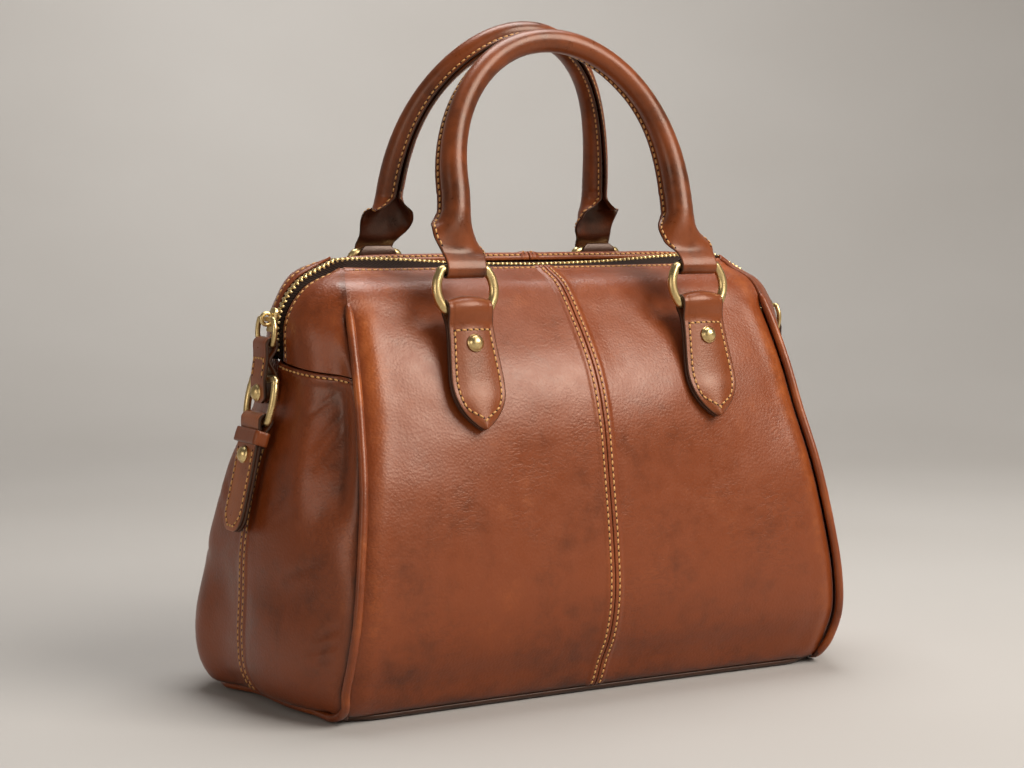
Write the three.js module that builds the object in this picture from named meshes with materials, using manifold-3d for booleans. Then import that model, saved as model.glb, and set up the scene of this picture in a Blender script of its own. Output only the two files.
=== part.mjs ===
// A zipped leather handbag with two rolled handles on brass rings and a buckled strap at each end.
// Millimetres, +Z up, front toward -Y. The origin is on the floor under the middle of the bag.
import * as THREE from 'three';
import { mergeVertices } from 'three/addons/utils/BufferGeometryUtils.js';
import Module from 'manifold-3d';

const wasm = await Module();
wasm.setup();

// Leather and seams
const WALL = 2;
const GAP = 0.35;
const PIPING_RADIUS = 2.3;
const PIPING_SIDES = 5;
const PIPING_CORNER = 6;
const PIPING_CORNER_STEPS = 3;
const PIPING_FOOT_STEPS = 7;
const EDGE_ROLL = 2;
const EDGE_ROLL_POWER = 12;
const SEAM_FADE = 8;
// How square an end is: its front half all the way up, and its back half at the foot
const END_BULGE_POWER = { front: 2.2, back: 4 };
const BODY_CENTRE = new THREE.Vector3(0, 0, 100);

// Slouch of the mouth: its back stands a little higher than its front
const TOP_HEIGHT = 233.5;
const LEAN = 0.04;
const MOUTH_RISE = 5;
const MOUTH_HALF_DEPTH = 10;

// Body sections from the base seam up to the zip. middle and edge are half depths at the centre seam
// and at the piping, halfWidth is at the piping, reach and endHeight follow the middle of an end.
const SECTIONS = [
  { height: 7, middle: 65.5, edge: 68, halfWidth: 150, reach: 169, endHeight: 8 },
  { height: 19, middle: 72, edge: 76, halfWidth: 154.6, reach: 178, endHeight: 19 },
  { height: 33, middle: 80.5, edge: 82.6, halfWidth: 154.8, reach: 180, endHeight: 33 },
  { height: 56, middle: 86, edge: 85.2, halfWidth: 152.2, reach: 179.3, endHeight: 56 },
  { height: 87, middle: 84.2, edge: 81.8, halfWidth: 148, reach: 177.7, endHeight: 87 },
  { height: 120, middle: 79.5, edge: 75, halfWidth: 143.3, reach: 171, endHeight: 122 },
  { height: 151.5, middle: 74, edge: 63.5, halfWidth: 139.2, reach: 161.5, endHeight: 156 },
  { height: 177.5, middle: 64.8, edge: 54, halfWidth: 136.8, reach: 157.5, endHeight: 184 },
  { height: 208, middle: 43.7, edge: 39.5, halfWidth: 133.5, reach: 156.5, endHeight: 206 },
  { height: 226, middle: 27, edge: 28, halfWidth: 130.5, reach: 146.5, endHeight: 223 },
  { height: TOP_HEIGHT, middle: 9, edge: 9, halfWidth: 122, reach: 124, endHeight: 235.5 },
];
const WING_SECTION = 7;
const WING_START = WING_SECTION / (SECTIONS.length - 1);
const LOWER_STEPS = 10;
const UPPER_STEPS = 5;
const PANEL_COLUMNS = 6;
const GUSSET_COLUMNS = 6;
const WING_COLUMNS = 3;

// Soft folds of an end: across runs from 0 at the piping to 1 at the centre seam
const END_FOLDS = [
  { across: 0.2, height: 150, depth: 7, wide: 0.17, tall: 42 },
  { across: 0.42, height: 128, depth: -2.5, wide: 0.14, tall: 30 },
  { across: 0.16, height: 94, depth: -2, wide: 0.12, tall: 16 },
  { across: 0.5, height: 66, depth: 2, wide: 0.3, tall: 14 },
];
// Outward swell of the back half of an end, where the bag leans on its corner
const BACK_SWELL = [
  { across: 0.36, height: 15, depth: -12, wide: 0.28, tall: 91 },
];
// Soft dents of a body panel: across runs from 0 at the centre seam to 1 at the piping
const PANEL_DENTS = [
  { across: 0.55, height: 214, depth: 3, wide: 0.2, tall: 14 },
  { across: 0.3, height: 112, depth: 1.5, wide: 0.2, tall: 30 },
  { across: 0.9, height: 130, depth: -1.5, wide: 0.12, tall: 60 },
];

// Base
const BASE_FRONT_EDGE = SECTIONS[0].height - GAP;
const BASE_END_EDGE = SECTIONS[0].height - PIPING_RADIUS - GAP;
const BASE_FRONT_STEPS = 4;
const BASE_END_STEPS = 4;
const BASE_CORNER_ACROSS = 0.96;
const BASE_END_ACROSS = 0.06;
const BASE_RIM = [
  { inset: 0.2, rise: 1 },
  { inset: 2.2, rise: 0.22 },
  { inset: 6, rise: 0 },
];

// Zip
const ZIP_EDGE = 7;
const ZIP_STATIONS_END = 6;
const ZIP_STATIONS_TOP = 12;
const ZIP_START_TRIM = 0.02;
const TEETH_HALF_WIDTH = 2.6;
const TEETH_LOW = -1.4;
const TEETH_HIGH = 1.4;
const TAPE_WALL = 0.8;
const TAPE_INSIDE_EDGE = 1.5;
// Height of the zip line over the mouth from the middle to the corner of the bag
const ZIP_WAVE = [
  { x: 0, height: 233.3 },
  { x: 45, height: 234.2 },
  { x: 88, height: 236.6 },
  { x: 112, height: 236.6 },
];
const SLIDER = { height: 204, length: 13, width: 9, thickness: 2.4, lift: 1.8 };
const LUG = { radius: 3, wire: 1.1, sides: 5, steps: 9 };

// Points of a wire loop by share of its straight bars and of its bowed sides
const WIRE_BAR_SHARES = [-1, -0.4, 0.4, 1];
const WIRE_SIDE_SHARES = [0.75, 0.38, 0, -0.38, -0.75];

// Strap that hangs from each slider
const LINK = { halfWidth: 10.2, halfHeight: 6.6, bow: 2.4, wire: 1.4, steps: 20, sides: 5 };
const STRAP_LAYERS = 3.6;
const STRAP_LOOP_WALL = 1.8;
const BAR_CLEARANCE = 0.6;
const UPPER_STRAP_WIDTH = 14;
const UPPER_STRAP_TAIL = 13;
// Thickness of the upper strap by distance from its link, spreading round the buckle bar
const UPPER_STRAP_ROWS = [
  { along: 0, thick: 3.6 },
  { along: 10, thick: 3.6 },
  { along: 21, thick: 7 },
];
const BUCKLE = { halfWidth: 16.6, bow: 2.4, wire: 2, steps: 24, sides: 6 };
const BUCKLE_TOP = new THREE.Vector3(165, 0, 174);
const BUCKLE_BOTTOM = new THREE.Vector3(169.5, 0, 152);
// Heights along the lower strap and how far its middle stands off the leather there
const LOWER_STRAP_ROUTE = [
  { height: 138, off: 7.4 },
  { height: 124, off: 6.4 },
  { height: 110, off: 6.4 },
  { height: 96, off: 7 },
  { height: 93, off: 7 },
];
// Half widths of the lower strap by distance from its rounded tip
const LOWER_STRAP_ROWS = [
  { fromTip: 0, half: 5.6 },
  { fromTip: 3, half: 9 },
  { fromTip: 8, half: 11 },
  { fromTip: 20, half: 11 },
];
const LOWER_STRAP_WIDTH = 22;
const LOWER_STRAP_STEPS = 10;
const KEEPER = { along: 9.2, height: 8, wall: 1.8, slack: 0.6 };
const STUD = { radius: 4.7, rise: 3.4, steps: 3, sides: 12 };
const LOWER_RIVET_ALONG = 19;
const UPPER_STUD_DROP = 7.6;
const DOME_SEAT = 0.5;

// Handles, rings and tabs
const RING_X = 73.9;
const RING_BAR_DEPTH = 56.5;
const RING_BAR_HEIGHT = 214.2;
const RING = { halfWidth: 17, halfHeight: 10.3, bow: 4, wire: 2.25, steps: 22, sides: 6 };
const RING_LEAN = THREE.MathUtils.degToRad(9.2);
const LOOP_WALL = 2.2;
const LOOP_WIDTH = 24;
const LOOP_SIDES = 12;
// Each handle hangs in its own curve: its straight leg, the rise and half width of its arch, the bow of
// its legs, and its lean in degrees
const HANDLE_CURVES = {
  front: { leg: 45, arch: 88, half: 72, bow: 5.5, lean: 17.5 },
  back: { leg: 22, arch: 110, half: 70, bow: -8, lean: 20 },
};
const HANDLE_ARCH_STEPS = 17;
const HANDLE_ARCH_START = 38;
const HANDLE_TUBE = 6.3;
const HANDLE_FIN = 2.6;
const HANDLE_FIN_HALF = 1.7;
const HANDLE_FLAT_SHARE = 0.4;
// Lower end of a handle leg by rise above its ring bar, from the flat loop to the round tube
const HANDLE_END_ROWS = [
  { rise: 3, half: 12, thick: 2.4, fin: 0 },
  { rise: 9, half: 12.2, thick: 2.6, fin: 0 },
  { rise: 15, half: 13.4, thick: 3.6, fin: 0.2 },
  { rise: 20, half: 13.6, thick: 4.8, fin: 0.8 },
  { rise: 26, half: 10, thick: 5.8, fin: 1.8 },
  { rise: 33, half: 6.8, thick: 6.3, fin: 2.5 },
];
const TAB_LAYERS = 4.4;
const TAB_SEAT = 1;
const TAB_ON_PANEL_HEIGHTS = [172, 164, 156, 148.5];
const TAB_RIVET_HEIGHT = 195;
// Half widths of a tab by distance from its pointed tip
const TAB_ROWS = [
  { fromTip: 0, half: 1.2 },
  { fromTip: 4, half: 6 },
  { fromTip: 9, half: 12.4 },
  { fromTip: 16, half: 16 },
  { fromTip: 32, half: 14.4 },
  { fromTip: 48, half: 12.8 },
  { fromTip: 66, half: 12.2 },
];
const TAB_STEPS = 12;

// Finishes
const FINISHES = {
  leather: { color: 0x8b4a2b, roughness: 0.42, metalness: 0 },
  trim: { color: 0x6b3822, roughness: 0.45, metalness: 0 },
  tape: { color: 0x33241b, roughness: 0.9, metalness: 0 },
  brass: { color: 0xb48d4f, roughness: 0.3, metalness: 1 },
};

const bag = new THREE.Group();
bag.name = 'handbag';

function addPiece(name, geometry, finish, parent = bag) {
  geometry.computeVertexNormals();
  const mesh = new THREE.Mesh(geometry, new THREE.MeshStandardMaterial(FINISHES[finish]));
  mesh.name = name;
  parent.add(mesh);
  return mesh;
}

// Geometry with shared vertices merged, from positions alone
function merged(geometry) {
  const bare = geometry.index ? geometry.toNonIndexed() : geometry.clone();
  bare.deleteAttribute('normal');
  bare.deleteAttribute('uv');
  return mergeVertices(bare, 1e-3);
}

function signedVolume(points, faces) {
  let volume = 0;
  for (const [a, b, c] of faces) {
    volume += points[a].dot(new THREE.Vector3().crossVectors(points[b], points[c])) / 6;
  }
  return volume;
}

// Closed geometry from points and triangles, turned so that its faces point out
function closedGeometry(points, faces) {
  const outFaces = signedVolume(points, faces) < 0 ? faces.map(([a, b, c]) => [a, c, b]) : faces;
  const geometry = new THREE.BufferGeometry().setFromPoints(points);
  geometry.setIndex(outFaces.flat());
  return geometry;
}

function quad(a, b, c, d) {
  return [[a, b, c], [a, c, d]];
}

// Wall between an outer and an inner grid of points
function wallGeometry(outer, inner) {
  const rows = outer.length;
  const columns = outer[0].length;
  const points = [...outer.flat(), ...inner.flat()];
  const at = (row, column) => row * columns + column;
  const under = (row, column) => rows * columns + at(row, column);
  const faces = [];
  for (let row = 0; row + 1 < rows; row += 1) {
    for (let column = 0; column + 1 < columns; column += 1) {
      const corners = [[row, column], [row, column + 1], [row + 1, column + 1], [row + 1, column]];
      faces.push(...quad(...corners.map((corner) => at(...corner))));
      faces.push(...quad(...corners.map((corner) => under(...corner)).reverse()));
    }
  }
  const rim = [];
  for (let column = 0; column < columns; column += 1) rim.push([0, column]);
  for (let row = 1; row < rows; row += 1) rim.push([row, columns - 1]);
  for (let column = columns - 2; column >= 0; column -= 1) rim.push([rows - 1, column]);
  for (let row = rows - 2; row > 0; row -= 1) rim.push([row, 0]);
  rim.forEach((corner, k) => {
    const next = rim[(k + 1) % rim.length];
    faces.push(...quad(at(...next), at(...corner), under(...corner), under(...next)));
  });
  return closedGeometry(points, faces);
}

// Solid through a row of outlines with equal numbers of points
function loftGeometry(outlines) {
  const sides = outlines[0].length;
  const points = outlines.flat();
  const faces = [];
  for (let k = 0; k + 1 < outlines.length; k += 1) {
    for (let side = 0; side < sides; side += 1) {
      const next = (side + 1) % sides;
      const [low, high] = [k * sides, (k + 1) * sides];
      faces.push(...quad(low + side, low + next, high + next, high + side));
    }
  }
  const last = (outlines.length - 1) * sides;
  for (let side = 1; side + 1 < sides; side += 1) {
    faces.push([0, side + 1, side]);
    faces.push([last, last + side, last + side + 1]);
  }
  return closedGeometry(points, faces);
}

function toSolid(geometry) {
  const bare = merged(geometry);
  return new wasm.Manifold(new wasm.Mesh({
    numProp: 3,
    vertProperties: bare.attributes.position.array,
    triVerts: Uint32Array.from(bare.index.array),
  }));
}

function toGeometry(solid) {
  const mesh = solid.getMesh();
  const geometry = new THREE.BufferGeometry();
  geometry.setAttribute('position', new THREE.BufferAttribute(mesh.vertProperties, 3));
  geometry.setIndex(new THREE.BufferAttribute(mesh.triVerts, 1));
  return geometry;
}

// Value of one column of a table at a distance, by straight lines between its rows
function fromTable(rows, key, column, distance) {
  const next = rows.findIndex((row) => row[key] >= distance);
  if (next === 0) return rows[0][column];
  if (next < 0) return rows[rows.length - 1][column];
  const [low, high] = [rows[next - 1], rows[next]];
  const share = (distance - low[key]) / (high[key] - low[key]);
  return THREE.MathUtils.lerp(low[column], high[column], share);
}

// Parameters from 0 to 1 that divide a line into equal lengths once its ends are trimmed
function evenSteps(line, count, trimStart, trimEnd) {
  const samples = 60;
  const lengths = [0];
  for (let k = 1; k <= samples; k += 1) {
    lengths.push(lengths[k - 1] + line(k / samples).distanceTo(line((k - 1) / samples)));
  }
  const steps = [];
  for (let k = 0; k <= count; k += 1) {
    const target = THREE.MathUtils.lerp(trimStart, lengths[samples] - trimEnd, k / count);
    const found = lengths.findIndex((length) => length >= target - 1e-9);
    const high = found < 1 ? 1 : found;
    const share = (target - lengths[high - 1]) / (lengths[high] - lengths[high - 1]);
    steps.push((high - 1 + share) / samples);
  }
  return steps;
}

// Surface of the body
const sectionCurve = (pick) => new THREE.CatmullRomCurve3(SECTIONS.map(pick));
const middleLine = sectionCurve((row) => new THREE.Vector3(0, row.middle, row.height));
const edgeLine = sectionCurve((row) => new THREE.Vector3(row.halfWidth, row.edge, row.height));
const endLine = sectionCurve((row) => new THREE.Vector3(row.reach, 0, row.endHeight));

function softDepth(table, across, height) {
  let depth = 0;
  for (const row of table) {
    const fall = ((across - row.across) / row.wide) ** 2 + ((height - row.height) / row.tall) ** 2;
    depth += row.depth * Math.exp(-fall);
  }
  return depth;
}

function slouch(depth, height) {
  const t = THREE.MathUtils.clamp(depth / MOUTH_HALF_DEPTH, -1, 1);
  const mouth = (MOUTH_RISE / 2) * t * (1.5 - t * t / 2);
  return (LEAN * depth + mouth) * (height / TOP_HEIGHT) ** 4;
}

// Moves a point of the right front quarter to its own quarter of the bag
function placed(point, end, face) {
  const moved = new THREE.Vector3(point.x * end, point.y * face, point.z);
  moved.z += slouch(moved.y, moved.z);
  return moved;
}

function panelPoint(across, up, end, face) {
  const middle = middleLine.getPoint(up);
  const edge = edgeLine.getPoint(up);
  const share = across * across;
  const height = THREE.MathUtils.lerp(middle.z, edge.z, share);
  const dent = softDepth(PANEL_DENTS, across, height) * (1 - across ** SEAM_FADE);
  const roll = EDGE_ROLL * across ** EDGE_ROLL_POWER + dent;
  const depth = THREE.MathUtils.lerp(middle.y, edge.y, share) - roll;
  return placed(new THREE.Vector3(across * edge.x, -depth, height), end, face);
}

function endPoint(across, up, end, face, seamDepth) {
  const edge = edgeLine.getPoint(up);
  const middle = endLine.getPoint(up);
  const foot = face > 0 ? END_BULGE_POWER.front : END_BULGE_POWER.back;
  const power = THREE.MathUtils.lerp(foot, END_BULGE_POWER.front, Math.min(up / WING_START, 1));
  const bulge = 1 - (1 - across) ** power;
  const height = THREE.MathUtils.lerp(edge.z, middle.z, across);
  const swell = face > 0 ? 0 : softDepth(BACK_SWELL, across, height);
  const fold = (softDepth(END_FOLDS, across, height) + swell) * (1 - (1 - across) ** SEAM_FADE);
  const x = THREE.MathUtils.lerp(edge.x, middle.x, bulge) - fold;
  const depth = THREE.MathUtils.lerp(edge.y, seamDepth, across);
  return placed(new THREE.Vector3(x, -depth, height), end, face);
}

function outwardAt(surface, u, v) {
  const step = 1e-3;
  const [low, high] = [Math.max(u - step, 0), Math.min(u + step, 1)];
  const [down, above] = [Math.max(v - step, 0), Math.min(v + step, 1)];
  const alongU = surface(high, v).sub(surface(low, v));
  const alongV = surface(u, above).sub(surface(u, down));
  const normal = alongU.cross(alongV).normalize();
  return normal.dot(surface(u, v).sub(BODY_CENTRE)) < 0 ? normal.negate() : normal;
}

// Leather wall over a surface, a row of points for each of the given rows
function leatherSheet(surface, columns, rows) {
  const outer = [];
  const inner = [];
  for (const { up, start, stop } of rows) {
    const steps = evenSteps((across) => surface(across, up), columns, start, stop);
    outer.push(steps.map((across) => surface(across, up)));
    inner.push(steps.map((across) => {
      const outward = outwardAt(surface, across, up);
      return surface(across, up).addScaledVector(outward, -WALL);
    }));
  }
  return wallGeometry(outer, inner);
}

const SEAM = GAP / 2;
const PIPED_SEAM = PIPING_RADIUS + GAP;
const ENDS = [['left', -1], ['right', 1]];
const FACES = [['front', 1], ['back', -1]];

// Rows that the panels, the ends and the piping share, so that their facets run side by side
const lowerEdge = (t) => edgeLine.getPoint(t * WING_START);
const upperEdge = (t) => edgeLine.getPoint(THREE.MathUtils.lerp(WING_START, 1, t));
const LOWER_ROWS = [0, ...evenSteps(lowerEdge, LOWER_STEPS, PIPING_CORNER, 0)];
const UPPER_ROWS = evenSteps(upperEdge, UPPER_STEPS, 0, 0);
const upperUp = (t) => THREE.MathUtils.lerp(WING_START, 1, t);
const PANEL_ROWS = [...LOWER_ROWS.map((t) => t * WING_START), ...UPPER_ROWS.slice(1).map(upperUp)];

// Body panels, end gussets and wings
for (const [endName, end] of ENDS) {
  for (const [faceName, face] of FACES) {
    const panel = (u, v) => panelPoint(u, v, end, face);
    const panelRows = PANEL_ROWS.map((up) => ({ up, start: SEAM, stop: up < 1 ? PIPED_SEAM : GAP }));
    addPiece(`${faceName}_panel_${endName}`, leatherSheet(panel, PANEL_COLUMNS, panelRows), 'leather');

    const gusset = (u, v) => endPoint(u, v * WING_START, end, face, 0);
    const gussetRows = LOWER_ROWS.map((up) => ({ up, start: PIPED_SEAM, stop: SEAM }));
    const [footUp, headUp] = evenSteps((t) => gusset(0.5, t), 1, PIPED_SEAM, GAP);
    gussetRows[0] = { up: footUp, start: PIPING_CORNER, stop: SEAM };
    gussetRows[gussetRows.length - 1].up = headUp;
    addPiece(`gusset_${endName}_${faceName}`, leatherSheet(gusset, GUSSET_COLUMNS, gussetRows), 'leather');

    const wing = (u, v) => endPoint(u, upperUp(v), end, face, ZIP_EDGE);
    const wingRows = UPPER_ROWS.map((up) => ({ up, start: up < 1 ? PIPED_SEAM : GAP, stop: 0 }));
    wingRows[0].up = evenSteps((t) => wing(0.5, t), 1, GAP, 0)[0];
    addPiece(`wing_${endName}_${faceName}`, leatherSheet(wing, WING_COLUMNS, wingRows), 'leather');
  }
}

// Piping round each end: down the front, along the foot of the gusset and up the back
function pipingHalf(end, face) {
  const edge = (up) => endPoint(0, up, end, face, 0);
  const foot = (across) => endPoint(across, 0, end, face, 0);
  const points = PANEL_ROWS.slice(1, -1).map(edge).reverse();
  const corner = edge(0);
  const upward = points[points.length - 1].clone().sub(corner);
  const inward = foot(evenSteps(foot, 1, PIPING_CORNER, 0)[0]).sub(corner);
  for (let k = 1; k < PIPING_CORNER_STEPS; k += 1) {
    const turn = (k / PIPING_CORNER_STEPS) * Math.PI / 2;
    const point = corner.clone().addScaledVector(upward, 1 - Math.sin(turn));
    points.push(point.addScaledVector(inward, 1 - Math.cos(turn)));
  }
  points.push(...evenSteps(foot, PIPING_FOOT_STEPS, PIPING_CORNER, 0).map(foot));
  return points;
}

function tubeOutlines(points, radius, sides) {
  return points.map((point, k) => {
    const before = points[Math.max(k - 1, 0)];
    const after = points[Math.min(k + 1, points.length - 1)];
    const tangent = after.clone().sub(before).normalize();
    const outward = point.clone().sub(BODY_CENTRE);
    outward.addScaledVector(tangent, -outward.dot(tangent)).normalize();
    const across = tangent.clone().cross(outward);
    const outline = [];
    for (let side = 0; side < sides; side += 1) {
      const turn = (side / sides) * 2 * Math.PI;
      const spoke = outward.clone().multiplyScalar(radius * Math.cos(turn));
      outline.push(spoke.addScaledVector(across, radius * Math.sin(turn)).add(point));
    }
    return outline;
  });
}

for (const [endName, end] of ENDS) {
  const front = pipingHalf(end, 1);
  const back = pipingHalf(end, -1).reverse();
  const route = [...front, ...back.slice(1)];
  const tube = loftGeometry(tubeOutlines(route, PIPING_RADIUS, PIPING_SIDES));
  addPiece(`piping_${endName}`, tube, 'leather');
}

// Base: a flat panel whose rim turns up to the seams
function baseQuarter(end, face) {
  const points = [];
  for (let k = 0; k <= BASE_FRONT_STEPS; k += 1) {
    const point = panelPoint((k / BASE_FRONT_STEPS) * BASE_CORNER_ACROSS, 0, end, face);
    points.push({ x: point.x, y: point.y, edge: BASE_FRONT_EDGE });
  }
  for (let k = 0; k < BASE_END_STEPS; k += 1) {
    const across = THREE.MathUtils.lerp(BASE_END_ACROSS, 1, (k + 1) / BASE_END_STEPS);
    const point = endPoint(across, 0, end, face, 0);
    points.push({ x: point.x, y: point.y, edge: BASE_END_EDGE });
  }
  return points;
}

function baseOutline() {
  const rightFront = baseQuarter(1, 1);
  const rightBack = baseQuarter(1, -1).reverse().slice(1);
  const leftBack = baseQuarter(-1, -1).slice(1);
  const leftFront = baseQuarter(-1, 1).reverse().slice(1, -1);
  return [...rightFront, ...rightBack, ...leftBack, ...leftFront];
}

function baseLoop(outline, inset, rise, lift) {
  return outline.map((point, k) => {
    const before = outline[(k + outline.length - 1) % outline.length];
    const after = outline[(k + 1) % outline.length];
    const inward = new THREE.Vector2(before.y - after.y, after.x - before.x).normalize();
    const moved = inward.multiplyScalar(inset).add(point);
    return new THREE.Vector3(moved.x, moved.y, point.edge * rise + lift);
  });
}

function baseGeometry() {
  const outline = baseOutline();
  const outside = BASE_RIM.map((row) => baseLoop(outline, row.inset, row.rise, 0));
  const inside = BASE_RIM.map(({ inset, rise }) => (
    baseLoop(outline, inset + WALL, rise, rise < 1 ? WALL : 0)
  ));
  const loops = [...outside.reverse(), ...inside];
  return loftGeometry(loops);
}
addPiece('base', baseGeometry(), 'leather');

// Zip over the mouth, from the seam of one end to the seam of the other
const zipWave = [...ZIP_WAVE].reverse().map((row) => new THREE.Vector3(row.x, 0, row.height));
const zipTop = new THREE.CatmullRomCurve3([endLine.getPoint(1), ...zipWave]);

function zipStations() {
  const half = [];
  for (let k = 0; k < ZIP_STATIONS_END; k += 1) {
    const up = THREE.MathUtils.lerp(WING_START + ZIP_START_TRIM, 1, k / ZIP_STATIONS_END);
    half.push({ centre: endLine.getPoint(up), edge: (face) => endPoint(1, up, 1, face, ZIP_EDGE) });
  }
  for (let k = 0; k <= ZIP_STATIONS_TOP / 2; k += 1) {
    const centre = zipTop.getPoint(k / (ZIP_STATIONS_TOP / 2));
    const across = centre.x / SECTIONS[SECTIONS.length - 1].halfWidth;
    half.push({ centre, edge: (face) => panelPoint(Math.min(across, 1), 1, 1, face) });
  }
  const mirrored = half.slice(0, -1).reverse().map(({ centre, edge }) => ({
    centre: new THREE.Vector3(-centre.x, centre.y, centre.z),
    edge: (face) => edge(face).multiply(new THREE.Vector3(-1, 1, 1)),
  }));
  const stations = [...half, ...mirrored];
  return stations.map((station, k) => {
    const before = stations[Math.max(k - 1, 0)].centre;
    const after = stations[Math.min(k + 1, stations.length - 1)].centre;
    const along = after.clone().sub(before).normalize();
    return { ...station, normal: new THREE.Vector3(along.z, 0, -along.x) };
  });
}

const stations = zipStations();
const teethOutlines = stations.map(({ centre, normal }) => {
  const corner = (y, rise) => centre.clone().addScaledVector(normal, rise).setY(y);
  return [
    corner(-TEETH_HALF_WIDTH, TEETH_LOW),
    corner(TEETH_HALF_WIDTH, TEETH_LOW),
    corner(TEETH_HALF_WIDTH, TEETH_HIGH),
    corner(-TEETH_HALF_WIDTH, TEETH_HIGH),
  ];
});
addPiece('zip_teeth', loftGeometry(teethOutlines), 'brass');

for (const [faceName, face] of FACES) {
  const outer = [];
  const inner = [];
  for (const { centre, edge, normal } of stations) {
    const inside = new THREE.Vector3(0, face * TAPE_INSIDE_EDGE, 0);
    const sewn = edge(face).addScaledVector(normal, -WALL / 2).add(inside);
    const lip = centre.clone().setY(-face * (TEETH_HALF_WIDTH + GAP));
    lip.addScaledVector(normal, TAPE_WALL / 2);
    const row = [sewn, lip];
    outer.push(row);
    inner.push(row.map((point) => point.clone().addScaledVector(normal, -TAPE_WALL)));
  }
  addPiece(`zip_tape_${faceName}`, wallGeometry(outer, inner), 'tape');
}

// Wire loop in the XZ plane with straight bars and bowed sides
function wireLoop({ halfWidth, halfHeight, bow, wire, steps, sides }) {
  const bar = halfWidth - bow;
  const radius = (halfHeight ** 2 + bow ** 2) / (2 * bow);
  const spread = Math.asin(Math.min(halfHeight / radius, 1));
  const points = [];
  for (const way of [1, -1]) {
    for (const share of WIRE_BAR_SHARES) {
      points.push(new THREE.Vector3(way * bar * share, 0, way * halfHeight));
    }
    for (const share of WIRE_SIDE_SHARES) {
      const turn = spread * share;
      const x = halfWidth - radius + radius * Math.cos(turn);
      points.push(new THREE.Vector3(way * x, 0, way * radius * Math.sin(turn)));
    }
  }
  const route = new THREE.CatmullRomCurve3(points, true);
  return merged(new THREE.TubeGeometry(route, steps, wire, sides, true));
}

// Flat strap of stitched layers along a route, rolled round one bar or more
function strapGeometry({ route, halfWidthAt, thicknessAt, widthAxis, bars, loopWidth }) {
  let along = 0;
  const outlines = route.map((point, k) => {
    const before = route[Math.max(k - 1, 0)];
    const after = route[Math.min(k + 1, route.length - 1)];
    along += k === 0 ? 0 : point.distanceTo(before);
    const half = halfWidthAt(along);
    const layers = thicknessAt(along);
    const normal = after.clone().sub(before).cross(widthAxis).normalize();
    const corner = (w, n) => point.clone().addScaledVector(widthAxis, w).addScaledVector(normal, n);
    return [
      corner(-half, -layers / 2),
      corner(half, -layers / 2),
      corner(half, layers / 2),
      corner(-half, layers / 2),
    ];
  });
  let solid = toSolid(loftGeometry(outlines));
  const barSolid = (bar, radius, length) => {
    const cylinder = new THREE.CylinderGeometry(radius, radius, length, LOOP_SIDES);
    const turn = new THREE.Quaternion().setFromUnitVectors(new THREE.Vector3(0, 1, 0), widthAxis);
    cylinder.applyQuaternion(turn).translate(bar.centre.x, bar.centre.y, bar.centre.z);
    return toSolid(cylinder);
  };
  for (const bar of bars) {
    solid = solid.add(barSolid(bar, bar.bore + bar.wall, loopWidth));
  }
  for (const bar of bars) {
    solid = solid.subtract(barSolid(bar, bar.bore, 3 * loopWidth));
  }
  return toGeometry(solid);
}

// Domed stud on a round base, standing along a direction
function addDome(name, seat, direction) {
  const profile = [new THREE.Vector2(0, 0)];
  for (let k = 0; k <= STUD.steps; k += 1) {
    const turn = (k / STUD.steps) * Math.PI / 2;
    profile.push(new THREE.Vector2(STUD.radius * Math.cos(turn), STUD.rise * Math.sin(turn)));
  }
  profile[profile.length - 1].x = 0;
  const dome = addPiece(name, merged(new THREE.LatheGeometry(profile, STUD.sides)), 'brass');
  dome.position.copy(seat).addScaledVector(direction, DOME_SEAT);
  dome.quaternion.setFromUnitVectors(new THREE.Vector3(0, 1, 0), direction);
}

// Parameter at which a rising line reaches a height
function upAtHeight(line, height) {
  let [low, high] = [0, 1];
  for (let k = 0; k < 40; k += 1) {
    const middle = (low + high) / 2;
    if (line.getPoint(middle).z < height) low = middle;
    else high = middle;
  }
  return low;
}

// Slider, link, buckle and strap at each end
const acrossY = new THREE.Vector3(0, 1, 0);

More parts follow.
